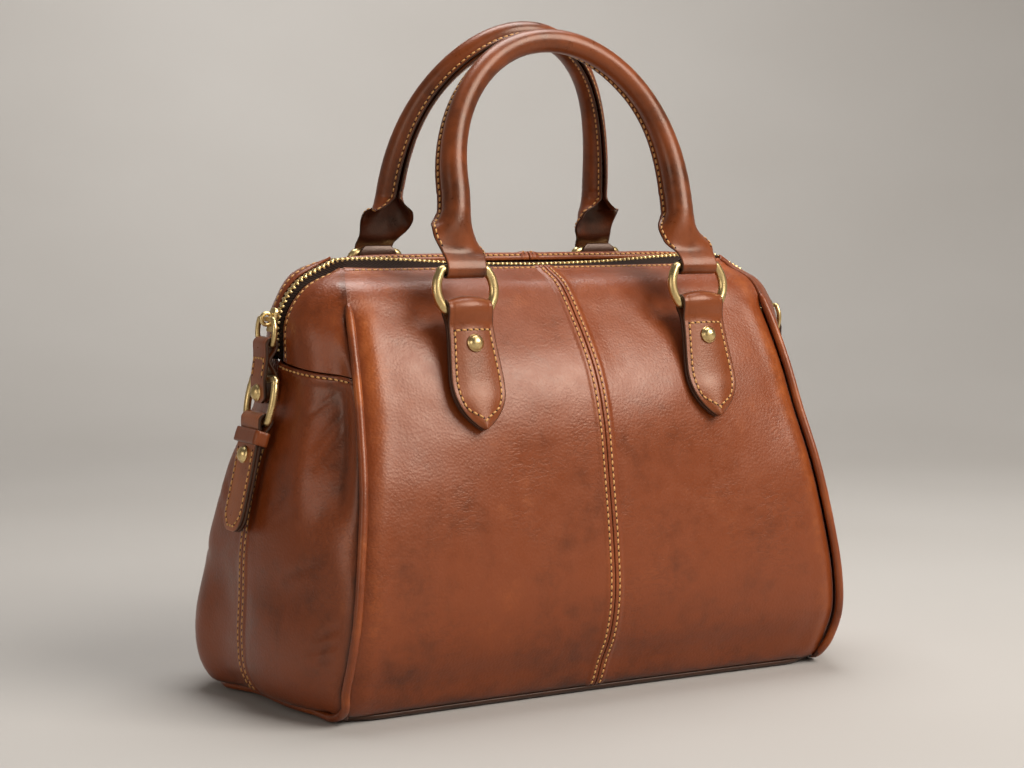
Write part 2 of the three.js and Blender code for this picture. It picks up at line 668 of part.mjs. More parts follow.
for (const [endName, end] of ENDS) {
  const mirror = (point) => new THREE.Vector3(point.x * end, point.y, point.z);
  const sliderUp = upAtHeight(endLine, SLIDER.height);
  const seat = endLine.getPoint(sliderUp);
  const along = endLine.getTangent(sliderUp);
  const outward = new THREE.Vector3(along.z, 0, -along.x);
  const sliderAngle = Math.atan2(outward.x, outward.z);

  const outline = new THREE.Shape();
  outline.moveTo(-SLIDER.length / 2, -SLIDER.width / 3);
  outline.lineTo(SLIDER.length / 2, -SLIDER.width / 2);
  outline.lineTo(SLIDER.length / 2, SLIDER.width / 2);
  outline.lineTo(-SLIDER.length / 2, SLIDER.width / 3);
  const plate = new THREE.ExtrudeGeometry(outline, {
    depth: SLIDER.thickness, bevelEnabled: false, steps: 1,
  });
  const lug = new THREE.TorusGeometry(LUG.radius, LUG.wire, LUG.sides, LUG.steps);
  const lugRise = SLIDER.thickness + LUG.radius - LUG.wire / 2;
  lug.rotateX(Math.PI / 2).translate(0, 0, lugRise);
  const slider = toGeometry(toSolid(plate).add(toSolid(lug)));
  slider.translate(0, 0, SLIDER.lift).rotateY(sliderAngle * end);
  addPiece(`zip_slider_${endName}`, slider, 'brass').position.copy(mirror(seat));

  const linkTop = seat.clone().addScaledVector(outward, SLIDER.lift + lugRise);
  const hang = BUCKLE_TOP.clone().sub(linkTop).normalize();
  const hangAngle = Math.atan2(-hang.x, -hang.z) * end;
  const linkBottom = linkTop.clone().addScaledVector(hang, 2 * LINK.halfHeight);
  const linkWire = wireLoop(LINK).rotateZ(Math.PI / 2).rotateY(hangAngle);
  const link = addPiece(`pull_link_${endName}`, linkWire, 'brass');
  link.position.copy(mirror(linkTop.clone().lerp(linkBottom, 0.5)));

  const buckleSpan = BUCKLE_TOP.clone().sub(BUCKLE_BOTTOM);
  const frame = wireLoop({ ...BUCKLE, halfHeight: buckleSpan.length() / 2 });
  frame.rotateZ(Math.PI / 2).rotateY(Math.atan2(buckleSpan.x, buckleSpan.z) * end);
  const buckle = addPiece(`buckle_${endName}`, frame, 'brass');
  buckle.position.copy(mirror(BUCKLE_TOP.clone().lerp(BUCKLE_BOTTOM, 0.5)));

  const fork = linkBottom.clone().lerp(BUCKLE_TOP, 0.5);
  const tail = BUCKLE_TOP.clone().addScaledVector(hang, UPPER_STRAP_TAIL);
  const upperThickness = (distance) => fromTable(UPPER_STRAP_ROWS, 'along', 'thick', distance);
  const upperBars = [
    { centre: mirror(linkBottom), bore: LINK.wire + BAR_CLEARANCE, wall: STRAP_LOOP_WALL },
    { centre: mirror(BUCKLE_TOP), bore: BUCKLE.wire + BAR_CLEARANCE, wall: STRAP_LOOP_WALL },
  ];
  const upperStrap = strapGeometry({
    route: [linkBottom, fork, BUCKLE_TOP, tail].map(mirror),
    halfWidthAt: () => UPPER_STRAP_WIDTH / 2,
    thicknessAt: upperThickness,
    widthAxis: acrossY,
    bars: upperBars,
    loopWidth: UPPER_STRAP_WIDTH,
  });
  addPiece(`strap_upper_${endName}`, upperStrap, 'trim');
  const faceOut = new THREE.Vector3(-hang.z, 0, hang.x);
  const studSeat = BUCKLE_TOP.clone().addScaledVector(hang, UPPER_STUD_DROP);
  studSeat.addScaledVector(faceOut, upperThickness(Infinity) / 2);
  addDome(`strap_stud_${endName}`, mirror(studSeat), mirror(faceOut));

  const endSurface = (u, v) => endPoint(u, v * WING_START, 1, 1, 0);
  const hung = LOWER_STRAP_ROUTE.map(({ height, off }) => {
    const up = upAtHeight(endLine, height) / WING_START;
    return endSurface(1, up).addScaledVector(outwardAt(endSurface, 1, up).setY(0).normalize(), off);
  });
  const lowerCurve = new THREE.CatmullRomCurve3([BUCKLE_BOTTOM, ...hung]);
  const lowerLength = lowerCurve.getLength();
  const lowerRoute = lowerCurve.getSpacedPoints(LOWER_STRAP_STEPS).map(mirror);
  const lowerStrap = strapGeometry({
    route: lowerRoute,
    halfWidthAt: (distance) => fromTable(LOWER_STRAP_ROWS, 'fromTip', 'half', lowerLength - distance),
    thicknessAt: () => STRAP_LAYERS,
    widthAxis: acrossY,
    bars: [{ centre: mirror(BUCKLE_BOTTOM), bore: BUCKLE.wire + BAR_CLEARANCE, wall: STRAP_LOOP_WALL }],
    loopWidth: LOWER_STRAP_WIDTH,
  });
  addPiece(`strap_lower_${endName}`, lowerStrap, 'trim');

  const lengthShare = (distance) => distance / lowerLength;
  const rivetAt = lowerCurve.getPointAt(lengthShare(LOWER_RIVET_ALONG));
  const rivetAlong = lowerCurve.getTangentAt(lengthShare(LOWER_RIVET_ALONG));
  const rivetOut = new THREE.Vector3(-rivetAlong.z, 0, rivetAlong.x);
  rivetAt.addScaledVector(rivetOut, STRAP_LAYERS / 2);
  addDome(`strap_rivet_${endName}`, mirror(rivetAt), mirror(rivetOut));

  const keeperAt = lowerCurve.getPointAt(lengthShare(KEEPER.along));
  const keeperAlong = lowerCurve.getTangentAt(lengthShare(KEEPER.along));
  const hole = { x: STRAP_LAYERS / 2 + KEEPER.slack, y: LOWER_STRAP_WIDTH / 2 + GAP };
  const ring = (x, y) => [[-x, -y], [x, -y], [x, y], [-x, y]].map((pair) => new THREE.Vector2(...pair));
  const band = new THREE.Shape(ring(hole.x + KEEPER.wall, hole.y + KEEPER.wall));
  band.holes.push(new THREE.Path(ring(hole.x, hole.y).reverse()));
  const keeper = new THREE.ExtrudeGeometry(band, { depth: KEEPER.height, bevelEnabled: false, steps: 1 });
  keeper.translate(0, 0, -KEEPER.height / 2).rotateY(Math.atan2(-keeperAlong.x, -keeperAlong.z) * end);
  addPiece(`keeper_${endName}`, merged(keeper), 'trim').position.copy(mirror(keeperAt));
}

// Handles on their rings, and the tabs that hold the rings on the panels
const acrossX = new THREE.Vector3(1, 0, 0);
const barBore = RING.wire + BAR_CLEARANCE;

function handleOutline(centre, along, { half, thick, fin }) {
  const across = new THREE.Vector3(-along.z, 0, along.x);
  const diagonal = Math.SQRT1_2;
  const finHalf = fin > 0 ? HANDLE_FIN_HALF : half * HANDLE_FLAT_SHARE;
  const pairs = [
    [half, 0],
    [half * diagonal, -thick * diagonal],
    [0, -thick],
    [-half * diagonal, -thick * diagonal],
    [-half, 0],
    [-half * diagonal, thick * diagonal],
    [-finHalf, thick + fin],
    [finHalf, thick + fin],
    [half * diagonal, thick * diagonal],
  ];
  return pairs.map(([a, b]) => centre.clone().addScaledVector(across, a).add(new THREE.Vector3(0, b, 0)));
}

// Handle in the XZ plane with its ring bars on the X axis and its fin toward +Y, its legs a little bowed
function handleGeometry({ leg, arch, half, bow }) {
  const tube = { half: HANDLE_TUBE, thick: HANDLE_TUBE, fin: HANDLE_FIN };
  const up = new THREE.Vector3(0, 0, 1);
  const legX = (rise) => (rise < leg
    ? THREE.MathUtils.lerp(RING_X, half, rise / leg)
    : half * Math.sqrt(1 - ((rise - leg) / arch) ** 2));
  const foot = HANDLE_END_ROWS.map((row) => ({ x: legX(row.rise), z: row.rise, along: up, shape: row }));
  const firstTurn = Math.asin(Math.max((HANDLE_ARCH_START - leg) / arch, 0));
  const over = [];
  for (let k = 0; k <= HANDLE_ARCH_STEPS; k += 1) {
    const turn = THREE.MathUtils.lerp(firstTurn, Math.PI - firstTurn, k / HANDLE_ARCH_STEPS);
    const along = new THREE.Vector3(-half * Math.sin(turn), 0, arch * Math.cos(turn)).normalize();
    over.push({ x: half * Math.cos(turn), z: leg + arch * Math.sin(turn), along, shape: tube });
  }
  const otherFoot = foot.map((row) => ({ ...row, x: -row.x, along: up.clone().negate() })).reverse();
  const outlines = [...foot, ...over, ...otherFoot].map(({ x, z, along, shape }) => {
    const bowed = bow * Math.sin(Math.PI * z / (leg + arch));
    return handleOutline(new THREE.Vector3(x, bowed, z), along, shape);
  });
  let solid = toSolid(loftGeometry(outlines));
  const loop = (x, radius, length) => {
    const cylinder = new THREE.CylinderGeometry(radius, radius, length, LOOP_SIDES);
    return toSolid(cylinder.rotateZ(Math.PI / 2).translate(x, 0, 0));
  };
  for (const x of [-RING_X, RING_X]) {
    solid = solid.add(loop(x, barBore + LOOP_WALL, LOOP_WIDTH));
    solid = solid.subtract(loop(x, barBore, 2 * LOOP_WIDTH));
  }
  return toGeometry(solid);
}

for (const [faceName, face] of FACES) {
  const barDepth = -RING_BAR_DEPTH * face;
  const barHeight = RING_BAR_HEIGHT + slouch(barDepth, RING_BAR_HEIGHT);

  // Turned half round for the back, so that both handles lean toward the middle
  const sideGroup = new THREE.Group();
  sideGroup.rotation.z = face > 0 ? 0 : Math.PI;
  sideGroup.position.z = barHeight;
  bag.add(sideGroup);
  const ringUp = new THREE.Vector3(0, Math.sin(RING_LEAN), Math.cos(RING_LEAN));
  const lowerBar = new THREE.Vector3(0, -RING_BAR_DEPTH, 0);
  const upperBar = lowerBar.clone().addScaledVector(ringUp, 2 * RING.halfHeight);

  for (const [endName, end] of ENDS) {
    const ring = addPiece(`ring_${faceName}_${endName}`, wireLoop(RING), 'brass', sideGroup);
    ring.position.copy(lowerBar).lerp(upperBar, 0.5).setX(RING_X * end * face);
    ring.rotation.x = -RING_LEAN;
  }
  const handle = addPiece(`handle_${faceName}`, handleGeometry(HANDLE_CURVES[faceName]), 'trim', sideGroup);
  handle.position.copy(upperBar);
  handle.rotation.x = -THREE.MathUtils.degToRad(HANDLE_CURVES[faceName].lean);

  for (const [endName, end] of ENDS) {
    const panel = (u, v) => panelPoint(u, v, end, face);
    const lifted = GAP + TAB_SEAT + TAB_LAYERS / 2;
    const seats = TAB_ON_PANEL_HEIGHTS.map((height) => {
      const up = upAtHeight(edgeLine, height);
      const across = RING_X / edgeLine.getPoint(up).x;
      return panel(across, up).addScaledVector(outwardAt(panel, across, up).setX(0).normalize(), lifted);
    });
    const bar = new THREE.Vector3(RING_X * end, barDepth, barHeight);
    const tabCurve = new THREE.CatmullRomCurve3([bar, ...seats.map((seat) => seat.setX(RING_X * end))]);
    const tab = strapGeometry({
      route: tabCurve.getSpacedPoints(TAB_STEPS),
      halfWidthAt: (distance) => fromTable(TAB_ROWS, 'fromTip', 'half', tabCurve.getLength() - distance),
      thicknessAt: () => TAB_LAYERS,
      widthAxis: acrossX,
      bars: [{ centre: bar, bore: barBore, wall: LOOP_WALL }],
      loopWidth: LOOP_WIDTH,
    });
    addPiece(`tab_${faceName}_${endName}`, tab, 'trim');

    const drop = (RING_BAR_HEIGHT - TAB_RIVET_HEIGHT) / tabCurve.getLength();
    const tabAlong = tabCurve.getTangentAt(drop);
    const tabOut = new THREE.Vector3(0, tabAlong.z, -tabAlong.y).multiplyScalar(face);
    const rivetSeat = tabCurve.getPointAt(drop).addScaledVector(tabOut, TAB_LAYERS / 2);
    addDome(`tab_rivet_${faceName}_${endName}`, rivetSeat, tabOut);
  }
}

export default bag;
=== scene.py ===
# A zipped leather handbag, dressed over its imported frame. Metres, +Z up, front toward -Y.
import bisect
import functools
import math

import bmesh
import bpy
from mathutils import Matrix, Vector, noise


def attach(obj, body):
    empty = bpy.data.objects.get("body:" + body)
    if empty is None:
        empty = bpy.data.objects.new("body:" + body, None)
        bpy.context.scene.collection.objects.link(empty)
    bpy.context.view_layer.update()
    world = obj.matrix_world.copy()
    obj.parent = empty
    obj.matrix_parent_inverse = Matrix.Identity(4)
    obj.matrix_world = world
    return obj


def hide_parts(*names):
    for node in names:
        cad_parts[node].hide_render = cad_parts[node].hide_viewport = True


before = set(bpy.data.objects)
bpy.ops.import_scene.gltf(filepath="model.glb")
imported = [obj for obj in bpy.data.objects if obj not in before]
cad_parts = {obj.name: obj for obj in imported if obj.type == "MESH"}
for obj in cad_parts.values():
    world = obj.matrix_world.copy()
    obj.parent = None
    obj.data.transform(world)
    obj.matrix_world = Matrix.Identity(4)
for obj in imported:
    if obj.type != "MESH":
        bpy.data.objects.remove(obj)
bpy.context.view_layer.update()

# Camera
# A short telephoto lens, a little above the middle of the bag and off its front left corner,
# where the photograph was taken from.
camera_data = bpy.data.cameras.new("camera")
camera_data.sensor_fit = "HORIZONTAL"
camera_data.sensor_width = 36
camera_data.lens = 72.3
camera = bpy.data.objects.new("camera", camera_data)
camera.location = (-0.588, -1.005, 0.262)
camera.rotation_euler = (math.radians(90 - 4.81), 0, math.radians(-29.71))
bpy.context.scene.collection.objects.link(camera)
bpy.context.scene.camera = camera

# Studio
# A pale matt paper bowl that is flat under the bag and curves up all round it. A broad soft key light
# stands high at the front right, with a small light over the top, a weak one in front, a fill on the
# left, one on the backdrop and an even grey sky over the open bowl.
def table(columns, *rows):
    """Rows of a table as dicts, by the names of its columns."""
    return [dict(zip(columns.split(), row)) for row in rows]


SWEEP_FLAT = 1.1
SWEEP_CURVE = 1.5
SWEEP_WALL = 0.9
SWEEP_STEPS = 72
SWEEP_BENDS = 16
PAPER = "b9b5b0"
PAPER_SHADE = "aea9a3"
PAPER_CLOUD_MM = 420
SKY = "e4e4e4"
SKY_STRENGTH = 0.15
LIGHTS = table(
    "name place aim size watts colour",
    ("key", (0.72, -1.25, 1.35), (0, 0, 0.16), (1.15, 1.05), 38, "fffaf4"),
    ("top", (0.15, 0.25, 1.35), (0, 0, 0.1), (0.9, 0.7), 14, "ffffff"),
    ("front", (-0.2, -2.0, 1.0), (0, 0, 0.16), (1.2, 1.0), 3, "fff8f0"),
    ("fill", (-1.7, -0.6, 0.6), (0, 0, 0.15), (0.8, 0.9), 4.4, "fff6ee"),
    ("backdrop", (0.5, 1.3, 1.35), (0.9, 2.25, 0.85), (0.5, 0.4), 11.5, "ffffff"),
)


def linear(code):
    """Linear RGBA of an sRGB hex colour."""
    channels = [int(code[k:k + 2], 16) / 255 for k in (0, 2, 4)]
    return tuple(c / 12.92 if c <= 0.04045 else ((c + 0.055) / 1.055) ** 2.4 for c in channels) + (1.0,)


def feed(material, node, sockets):
    """Links or sets the sockets of a node."""
    for key, value in sockets.items():
        if isinstance(value, bpy.types.NodeSocket):
            material.node_tree.links.new(value, node.inputs[key])
        else:
            node.inputs[key].default_value = value


def add_node(material, kind, sockets=None, **settings):
    """A shader node with its settings, its socket values and the links into it."""
    made = material.node_tree.nodes.new(kind)
    for key, value in settings.items():
        setattr(made, key, value)
    feed(material, made, sockets or {})
    return made


def new_material(name):
    """A node material, its surface shader and its place on the object in metres."""
    material = bpy.data.materials.new(name)
    material.use_nodes = True
    material.node_tree.nodes.clear()
    shader = add_node(material, "ShaderNodeBsdfPrincipled")
    add_node(material, "ShaderNodeOutputMaterial", {"Surface": shader.outputs["BSDF"]})
    return material, shader, add_node(material, "ShaderNodeTexCoord").outputs["Object"]


def clouds(material, place, size_mm, **sockets):
    """Noise with clouds of a size in millimetres."""
    sockets |= {"Vector": place, "Scale": 1000 / size_mm}
    return add_node(material, "ShaderNodeTexNoise", sockets).outputs["Fac"]


def mixed_colour(material, share, first, second):
    """Colour between two others, each a hex code or a socket, by share."""
    first, second = (linear(colour) if isinstance(colour, str) else colour for colour in (first, second))
    return add_node(material, "ShaderNodeMix", {0: share, 6: first, 7: second}, data_type="RGBA").outputs[2]


def new_object(name, bm, *materials):
    """A smooth shaded object from a bmesh, in place at the origin."""
    mesh = bpy.data.meshes.new(name)
    bm.to_mesh(mesh)
    bm.free()
    mesh.shade_smooth()
    made = bpy.data.objects.new(name, mesh)
    for material in materials:
        mesh.materials.append(material)
    bpy.context.scene.collection.objects.link(made)
    return made


# Matt background paper: faint broad clouds keep it from looking like a flat colour
paper, paper_shader, paper_place = new_material("matt_background_paper")
paper_colour = mixed_colour(paper, clouds(paper, paper_place, PAPER_CLOUD_MM), PAPER, PAPER_SHADE)
feed(paper, paper_shader, {"Base Color": paper_colour, "Roughness": 0.9, "Specular IOR Level": 0.2})


def spun(profile, steps):
    """A bmesh spun about the Z axis from a row of (away, rise) points."""
    bm = bmesh.new()
    verts = [bm.verts.new((away, 0, rise)) for away, rise in profile]
    edges = [bm.edges.new(pair) for pair in zip(verts, verts[1:])]
    bmesh.ops.spin(
        bm, geom=verts + edges, cent=(0, 0, 0), axis=(0, 0, 1), dvec=(0, 0, 0),
        angle=2 * math.pi, steps=steps, use_merge=True,
    )
    bmesh.ops.remove_doubles(bm, verts=bm.verts, dist=1e-6)
    bmesh.ops.recalc_face_normals(bm, faces=bm.faces)
    return bm


sweep = [(0, 0), (SWEEP_FLAT, 0)]
for k in range(1, SWEEP_BENDS + 1):
    turn = math.pi / 2 * k / SWEEP_BENDS
    sweep.append((SWEEP_FLAT + SWEEP_CURVE * math.sin(turn), SWEEP_CURVE * (1 - math.cos(turn))))
sweep.append((SWEEP_FLAT + SWEEP_CURVE, SWEEP_CURVE + SWEEP_WALL))
new_object("studio_sweep", spun(sweep, SWEEP_STEPS), paper)

for row in LIGHTS:
    lamp = bpy.data.lights.new(row["name"], "AREA")
    lamp.shape = "RECTANGLE"
    lamp.size, lamp.size_y = row["size"]
    lamp.energy = row["watts"]
    lamp.color = linear(row["colour"])[:3]
    lamp_object = bpy.data.objects.new(row["name"] + "_light", lamp)
    lamp_object.location = row["place"]
    aim = Vector(row["aim"]) - lamp_object.location
    lamp_object.rotation_euler = aim.to_track_quat("-Z", "Y").to_euler()
    bpy.context.scene.collection.objects.link(lamp_object)

world = bpy.data.worlds.new("studio")
world.use_nodes = True
sky = world.node_tree.nodes["Background"]
sky.inputs["Color"].default_value = linear(SKY)
sky.inputs["Strength"].default_value = SKY_STRENGTH
bpy.context.scene.world = world
bpy.context.scene.view_settings.view_transform = "Standard"

# Body panels
# Two panels of waxed cognac leather for the front and two for the back, joined in pairs by a felled
# seam down the middle, tucked into the piping at the ends and folded over beside the zip.
MM = 0.001
WALL = 2
GAP = 0.35
PIPED_SEAM = 2.65
BODY_CENTRE = Vector((0, 0, 100))
TOP_HEIGHT = 233.5
LEAN = 0.04
MOUTH_RISE = 5
MOUTH_HALF_DEPTH = 10
EDGE_ROLL = 2.0
EDGE_ROLL_POWER = 12
SEAM_FADE = 8
ENDS = {"left": -1, "right": 1}
FACES = {"front": 1, "back": -1}
PIECE_ENDINGS = {"leather": "leather", "trim_leather": "leather", "brass": "brass", "zip_tape": "weave"}
SECTIONS = table(
    "height middle edge half_width reach end_height",
    (7, 65.5, 68, 150, 169, 8),
    (19, 72, 76, 154.6, 178, 19),
    (33, 80.5, 82.6, 154.8, 180, 33),
    (56, 86, 85.2, 152.2, 179.3, 56),
    (87, 84.2, 81.8, 148, 177.7, 87),
    (120, 79.5, 75, 143.3, 171, 122),
    (151.5, 74, 63.5, 139.2, 161.5, 156),
    (177.5, 64.8, 54, 136.8, 157.5, 184),
    (208, 43.7, 39.5, 133.5, 156.5, 206),
    (226, 27, 28, 130.5, 146.5, 223),
    (TOP_HEIGHT, 9, 9, 122, 124, 235.5),
)
WING_START = 0.7
# Soft dents of a panel: across runs from 0 at the centre seam to 1 at the piping
PANEL_DENTS = table(
    "across height depth wide tall",
    (0.55, 214, 2.2, 0.14, 14),
    (0.3, 112, 1.5, 0.2, 30),
    (0.9, 130, -1.5, 0.12, 60),
)
PANEL_COLUMNS = 110
PANEL_ROWS = 120
GRID_CROWDING = 0.72
SEAM_ROW = 2.6
MOUTH_ROW = 2.6
# Folded edges of the mouth by distance from the edge: the back one rolls over toward the zip
MOUTH_LIPS = {
    1: table(
        "away toward rise",
        (0, 0, 1.2),
        (3, 0, 1.0),
        (7, 0, 0.4),
        (14, 0, 0),
    ),
    -1: table(
        "away toward rise",
        (0, 4, -1.9),
        (2, 5.1, 1.1),
        (4, 5.4, 3.3),
        (6, 5, 4.1),
        (9, 4.1, 3.8),
        (12, 2.7, 2.5),
        (16, 0.8, 0.8),
        (20, 0, 0),
    ),
}
# Lift of the front lip at its corners, as a share of its rise, and of the tips of the front wings
CORNER_RISE = {-1: 0, 1: 2}
TIP_RISE = {-1: -1.4, 1: 3.2}
PANEL_SAG = 4.2
SEAM_GAP = 0.12
PIPING_TOP = 0.835
MOUTH_SPAN = 195
FOOT_SPAN = 130
FOOT_FADE = 22
SWELL = 0.8
SWELL_MM = 46
RIPPLE = 0.22
RIPPLE_MM = 15


def line_through(points, share, closed=False):
    """Point of the smooth line through some points, by share of its spans."""
    count = len(points)
    place = share * (count if closed else count - 1)
    start = math.floor(place) if closed else min(int(place), count - 2)
    weight = place - start
    if closed:
        before, first, second, after = (points[(start + k) % count] for k in (-1, 0, 1, 2))
    else:
        first, second = points[start], points[start + 1]
        before = points[start - 1] if start > 0 else first * 2 - second
        after = points[start + 2] if start + 2 < count else second * 2 - first
    gap_0 = max((first - before).length, 1e-8) ** 0.5
    gap_1 = max((second - first).length, 1e-8) ** 0.5
    gap_2 = max((after - second).length, 1e-8) ** 0.5
    leave = (first - before) / gap_0 - (second - before) / (gap_0 + gap_1) + (second - first) / gap_1
    arrive = (second - first) / gap_1 - (after - first) / (gap_1 + gap_2) + (after - second) / gap_2
    leave, arrive = leave * gap_1, arrive * gap_1
    square = (second - first) * 3 - leave * 2 - arrive
    cube = (first - second) * 2 + leave + arrive
    return first + leave * weight + square * weight ** 2 + cube * weight ** 3


MIDDLE_LINE = [Vector((0, row["middle"], row["height"])) for row in SECTIONS]
EDGE_LINE = [Vector((row["half_width"], row["edge"], row["height"])) for row in SECTIONS]
END_LINE = [Vector((row["reach"], 0, row["end_height"])) for row in SECTIONS]


@functools.lru_cache(maxsize=None)
def body_lines(up):
    """Points of the centre seam, the piping and the end's middle at one level of the body."""
    return line_through(MIDDLE_LINE, up), line_through(EDGE_LINE, up), line_through(END_LINE, up)


def mixed(low, high, share):
    """Value between two others by share."""
    return low + (high - low) * share


def eased(low, high, value):
    """0 up to low, 1 from high, and a smooth step between."""
    share = min(max((value - low) / (high - low), 0), 1)
    return share * share * (3 - 2 * share)


def hump(value, middle, width):
    """Smooth hump of height 1."""
    return math.exp(-((value - middle) / width) ** 2)


def crowded(share):
    """Share of a grid with its lines drawn close together at both ends."""
    return share - GRID_CROWDING * math.sin(2 * math.pi * share) / (2 * math.pi)


def soft_depth(rows, across, height):
    """Depth of a table of soft dents at a place."""
    depth = 0
    for row in rows:
        near = hump(across, row["across"], row["wide"]) * hump(height, row["height"], row["tall"])
        depth += row["depth"] * near
    return depth


def from_table(rows, key, column, value):
    """Value of a table's column at a place, on a smooth line through its rows."""
    if value <= rows[0][key]:
        return rows[0][column]
    if value >= rows[-1][key]:
        return rows[-1][column]
    high = next(k for k, row in enumerate(rows) if row[key] > value)
    span = rows[high][key] - rows[high - 1][key]
    share = (value - rows[high - 1][key]) / span
    slopes = []
    for k in (high - 1, high):
        first, second = rows[max(k - 1, 0)], rows[min(k + 1, len(rows) - 1)]
        slopes.append((second[column] - first[column]) / (second[key] - first[key]) * span)
    start, stop = rows[high - 1][column], rows[high][column]
    square = 3 * (stop - start) - 2 * slopes[0] - slopes[1]
    cube = 2 * (start - stop) + slopes[0] + slopes[1]
    return start + slopes[0] * share + square * share ** 2 + cube * share ** 3


def slouch(depth, height):
    """Rise of the back of the mouth over its front."""
    t = min(max(depth / MOUTH_HALF_DEPTH, -1), 1)
    mouth = MOUTH_RISE / 2 * t * (1.5 - t * t / 2)
    return (LEAN * depth + mouth) * (height / TOP_HEIGHT) ** 4


def placed(point, end, face):
    """Moves a point of the right front quarter to its own quarter, with the slouch of the mouth."""
    moved = Vector((point.x * end, point.y * face, point.z))
    moved.z += slouch(moved.y, moved.z)
    return moved


def panel_base(across, up, end, face):
    """Point of a body panel without its fine relief."""
    middle, edge, _ = body_lines(up)
    share = across * across
    height = mixed(middle.z, edge.z, share)
    dent = soft_depth(PANEL_DENTS, across, height) * (1 - across ** SEAM_FADE)
    depth = mixed(middle.y, edge.y, share) - EDGE_ROLL * across ** EDGE_ROLL_POWER - dent
    return placed(Vector((across * edge.x, -depth, height)), end, face)


def outward_at(surface, u, v):
    """Unit normal of a surface of the body, pointing out of the bag."""
    step = 1e-3
    along_u = surface(min(u + step, 1), v) - surface(max(u - step, 0), v)
    along_v = surface(u, min(v + step, 1)) - surface(u, max(v - step, 0))
    normal = along_u.cross(along_v).normalized()
    return -normal if normal.dot(surface(u, v) - BODY_CENTRE) < 0 else normal


def swell(point, fade):
    """Soft unevenness of worn leather at a point in millimetres."""
    broad = noise.noise(point / SWELL_MM) * SWELL
    fine = noise.noise(point / RIPPLE_MM + Vector((7, 3, 5))) * RIPPLE
    return (broad + fine) * fade


def seam_relief(distance):
    """Height of the leather beside a felled seam: a raised band with a groove and a stitch channel."""
    band = 0.6 * (1 - eased(3.6, 6.5, distance))
    return band - 0.4 * hump(distance, 0, 0.4) - 0.25 * hump(distance, SEAM_ROW, 0.6)


def foot_sag(up):
    """Sag of the foot of the body over the edge of its base."""
    return PANEL_SAG * (1 - eased(0, FOOT_FADE, up * FOOT_SPAN))


def panel_shape(across, up, end, face):
    """Point of a body panel with the rolled lip of its mouth and its sagging foot."""
    from_mouth = (1 - up) * MOUTH_SPAN
    lip = MOUTH_LIPS[face]
    corner = across ** SEAM_FADE
    toward = from_table(lip, "away", "toward", from_mouth) * (1 - corner)
    rise = from_table(lip, "away", "rise", from_mouth)
    rise *= 1 + CORNER_RISE[end] * corner if face > 0 else 1 - corner
    return panel_base(across, up, end, face) + Vector((0, face * toward, rise - foot_sag(up)))


def piped(up):
    """1 where the seam round an end holds the piping, and 0 above it and at its foot."""
    return (1 - eased(PIPING_TOP - 0.035, PIPING_TOP + 0.005, up)) * eased(0, 0.09, up)


def panel_spot(across, up, end, face):
    """Point, normal and tone of a body panel: 0 for painted shade, 0.5 for plain and 1 for stretched
    leather.
    """
    surface = lambda u, v: panel_shape(u, v, end, face)
    base = surface(across, up)
    outward = outward_at(surface, across, up)
    _, edge, _ = body_lines(up)
    from_seam = across * edge.x
    from_piping = (1 - across) * edge.x
    from_mouth = (1 - up) * MOUTH_SPAN
    from_foot = up * FOOT_SPAN
    fade = eased(2, 14, from_piping) * eased(2, 12, from_mouth)
    fade *= eased(2, 12, from_foot) * eased(3, 14, from_seam)
    relief = swell(base, fade) + seam_relief(from_seam)
    relief -= mixed(0.05, 2.2, piped(up)) * math.exp(-from_piping / 3.2)
    relief += mixed(0.1, 0.9, piped(up)) * hump(from_piping, 11, 6)
    relief -= 1.4 * math.exp(-from_foot / 2.5) + 0.3 * hump(from_mouth, MOUTH_ROW, 0.55)
    relief -= 0.7 * math.exp(-from_mouth / 0.8) * (1 - across ** SEAM_FADE)
    # Tone: lighter where the leather is stretched over the roll by the piping, the seam band and the mouth;
    # darkened as painted shade in the centre seam's groove, the crease at the piping, the stitch channel of
    # the mouth, and towards and at the foot
    tone = 0.5 + 0.17 * hump(from_piping, 9, 7) + 0.1 * (1 - eased(3, 7, from_seam))
    tone += 0.08 * (1 - eased(5, 16, from_mouth)) - 0.08 * (1 - eased(10, 90, from_foot))
    tone -= mixed(0.12, 0.5, piped(up)) * math.exp(-from_piping / 1.8) + 0.25 * hump(from_seam, 0, 0.4)
    tone -= 0.35 * math.exp(-from_foot / 3) + 0.25 * hump(from_mouth, MOUTH_ROW, 0.6)
    return base + outward * relief, outward, tone


def skin(spot, columns, rows):
    """A bmesh grid whose vertices are moved to spot(u, v), in millimetres, with its tone and paint."""
    bm = bmesh.new()
    bm.loops.layers.uv.new("UVMap")
    tone_layer = bm.verts.layers.float.new("tone")
    paint_layer = bm.verts.layers.float.new("paint")
    bmesh.ops.create_grid(bm, x_segments=columns, y_segments=rows, size=0.5, calc_uvs=True)
    for vert in bm.verts:
        point, tone, paint = spot(vert.co.x + 0.5, vert.co.y + 0.5)
        vert.co = point * MM
        vert[tone_layer] = tone
        vert[paint_layer] = paint
    bmesh.ops.remove_doubles(bm, verts=bm.verts, dist=2e-6)
    return bm


def closed_skin(spot, columns, rows):
    """A skin that closes on itself, with its faces outward."""
    bm = skin(spot, columns, rows)
    bmesh.ops.recalc_face_normals(bm, faces=bm.faces)
    return bm


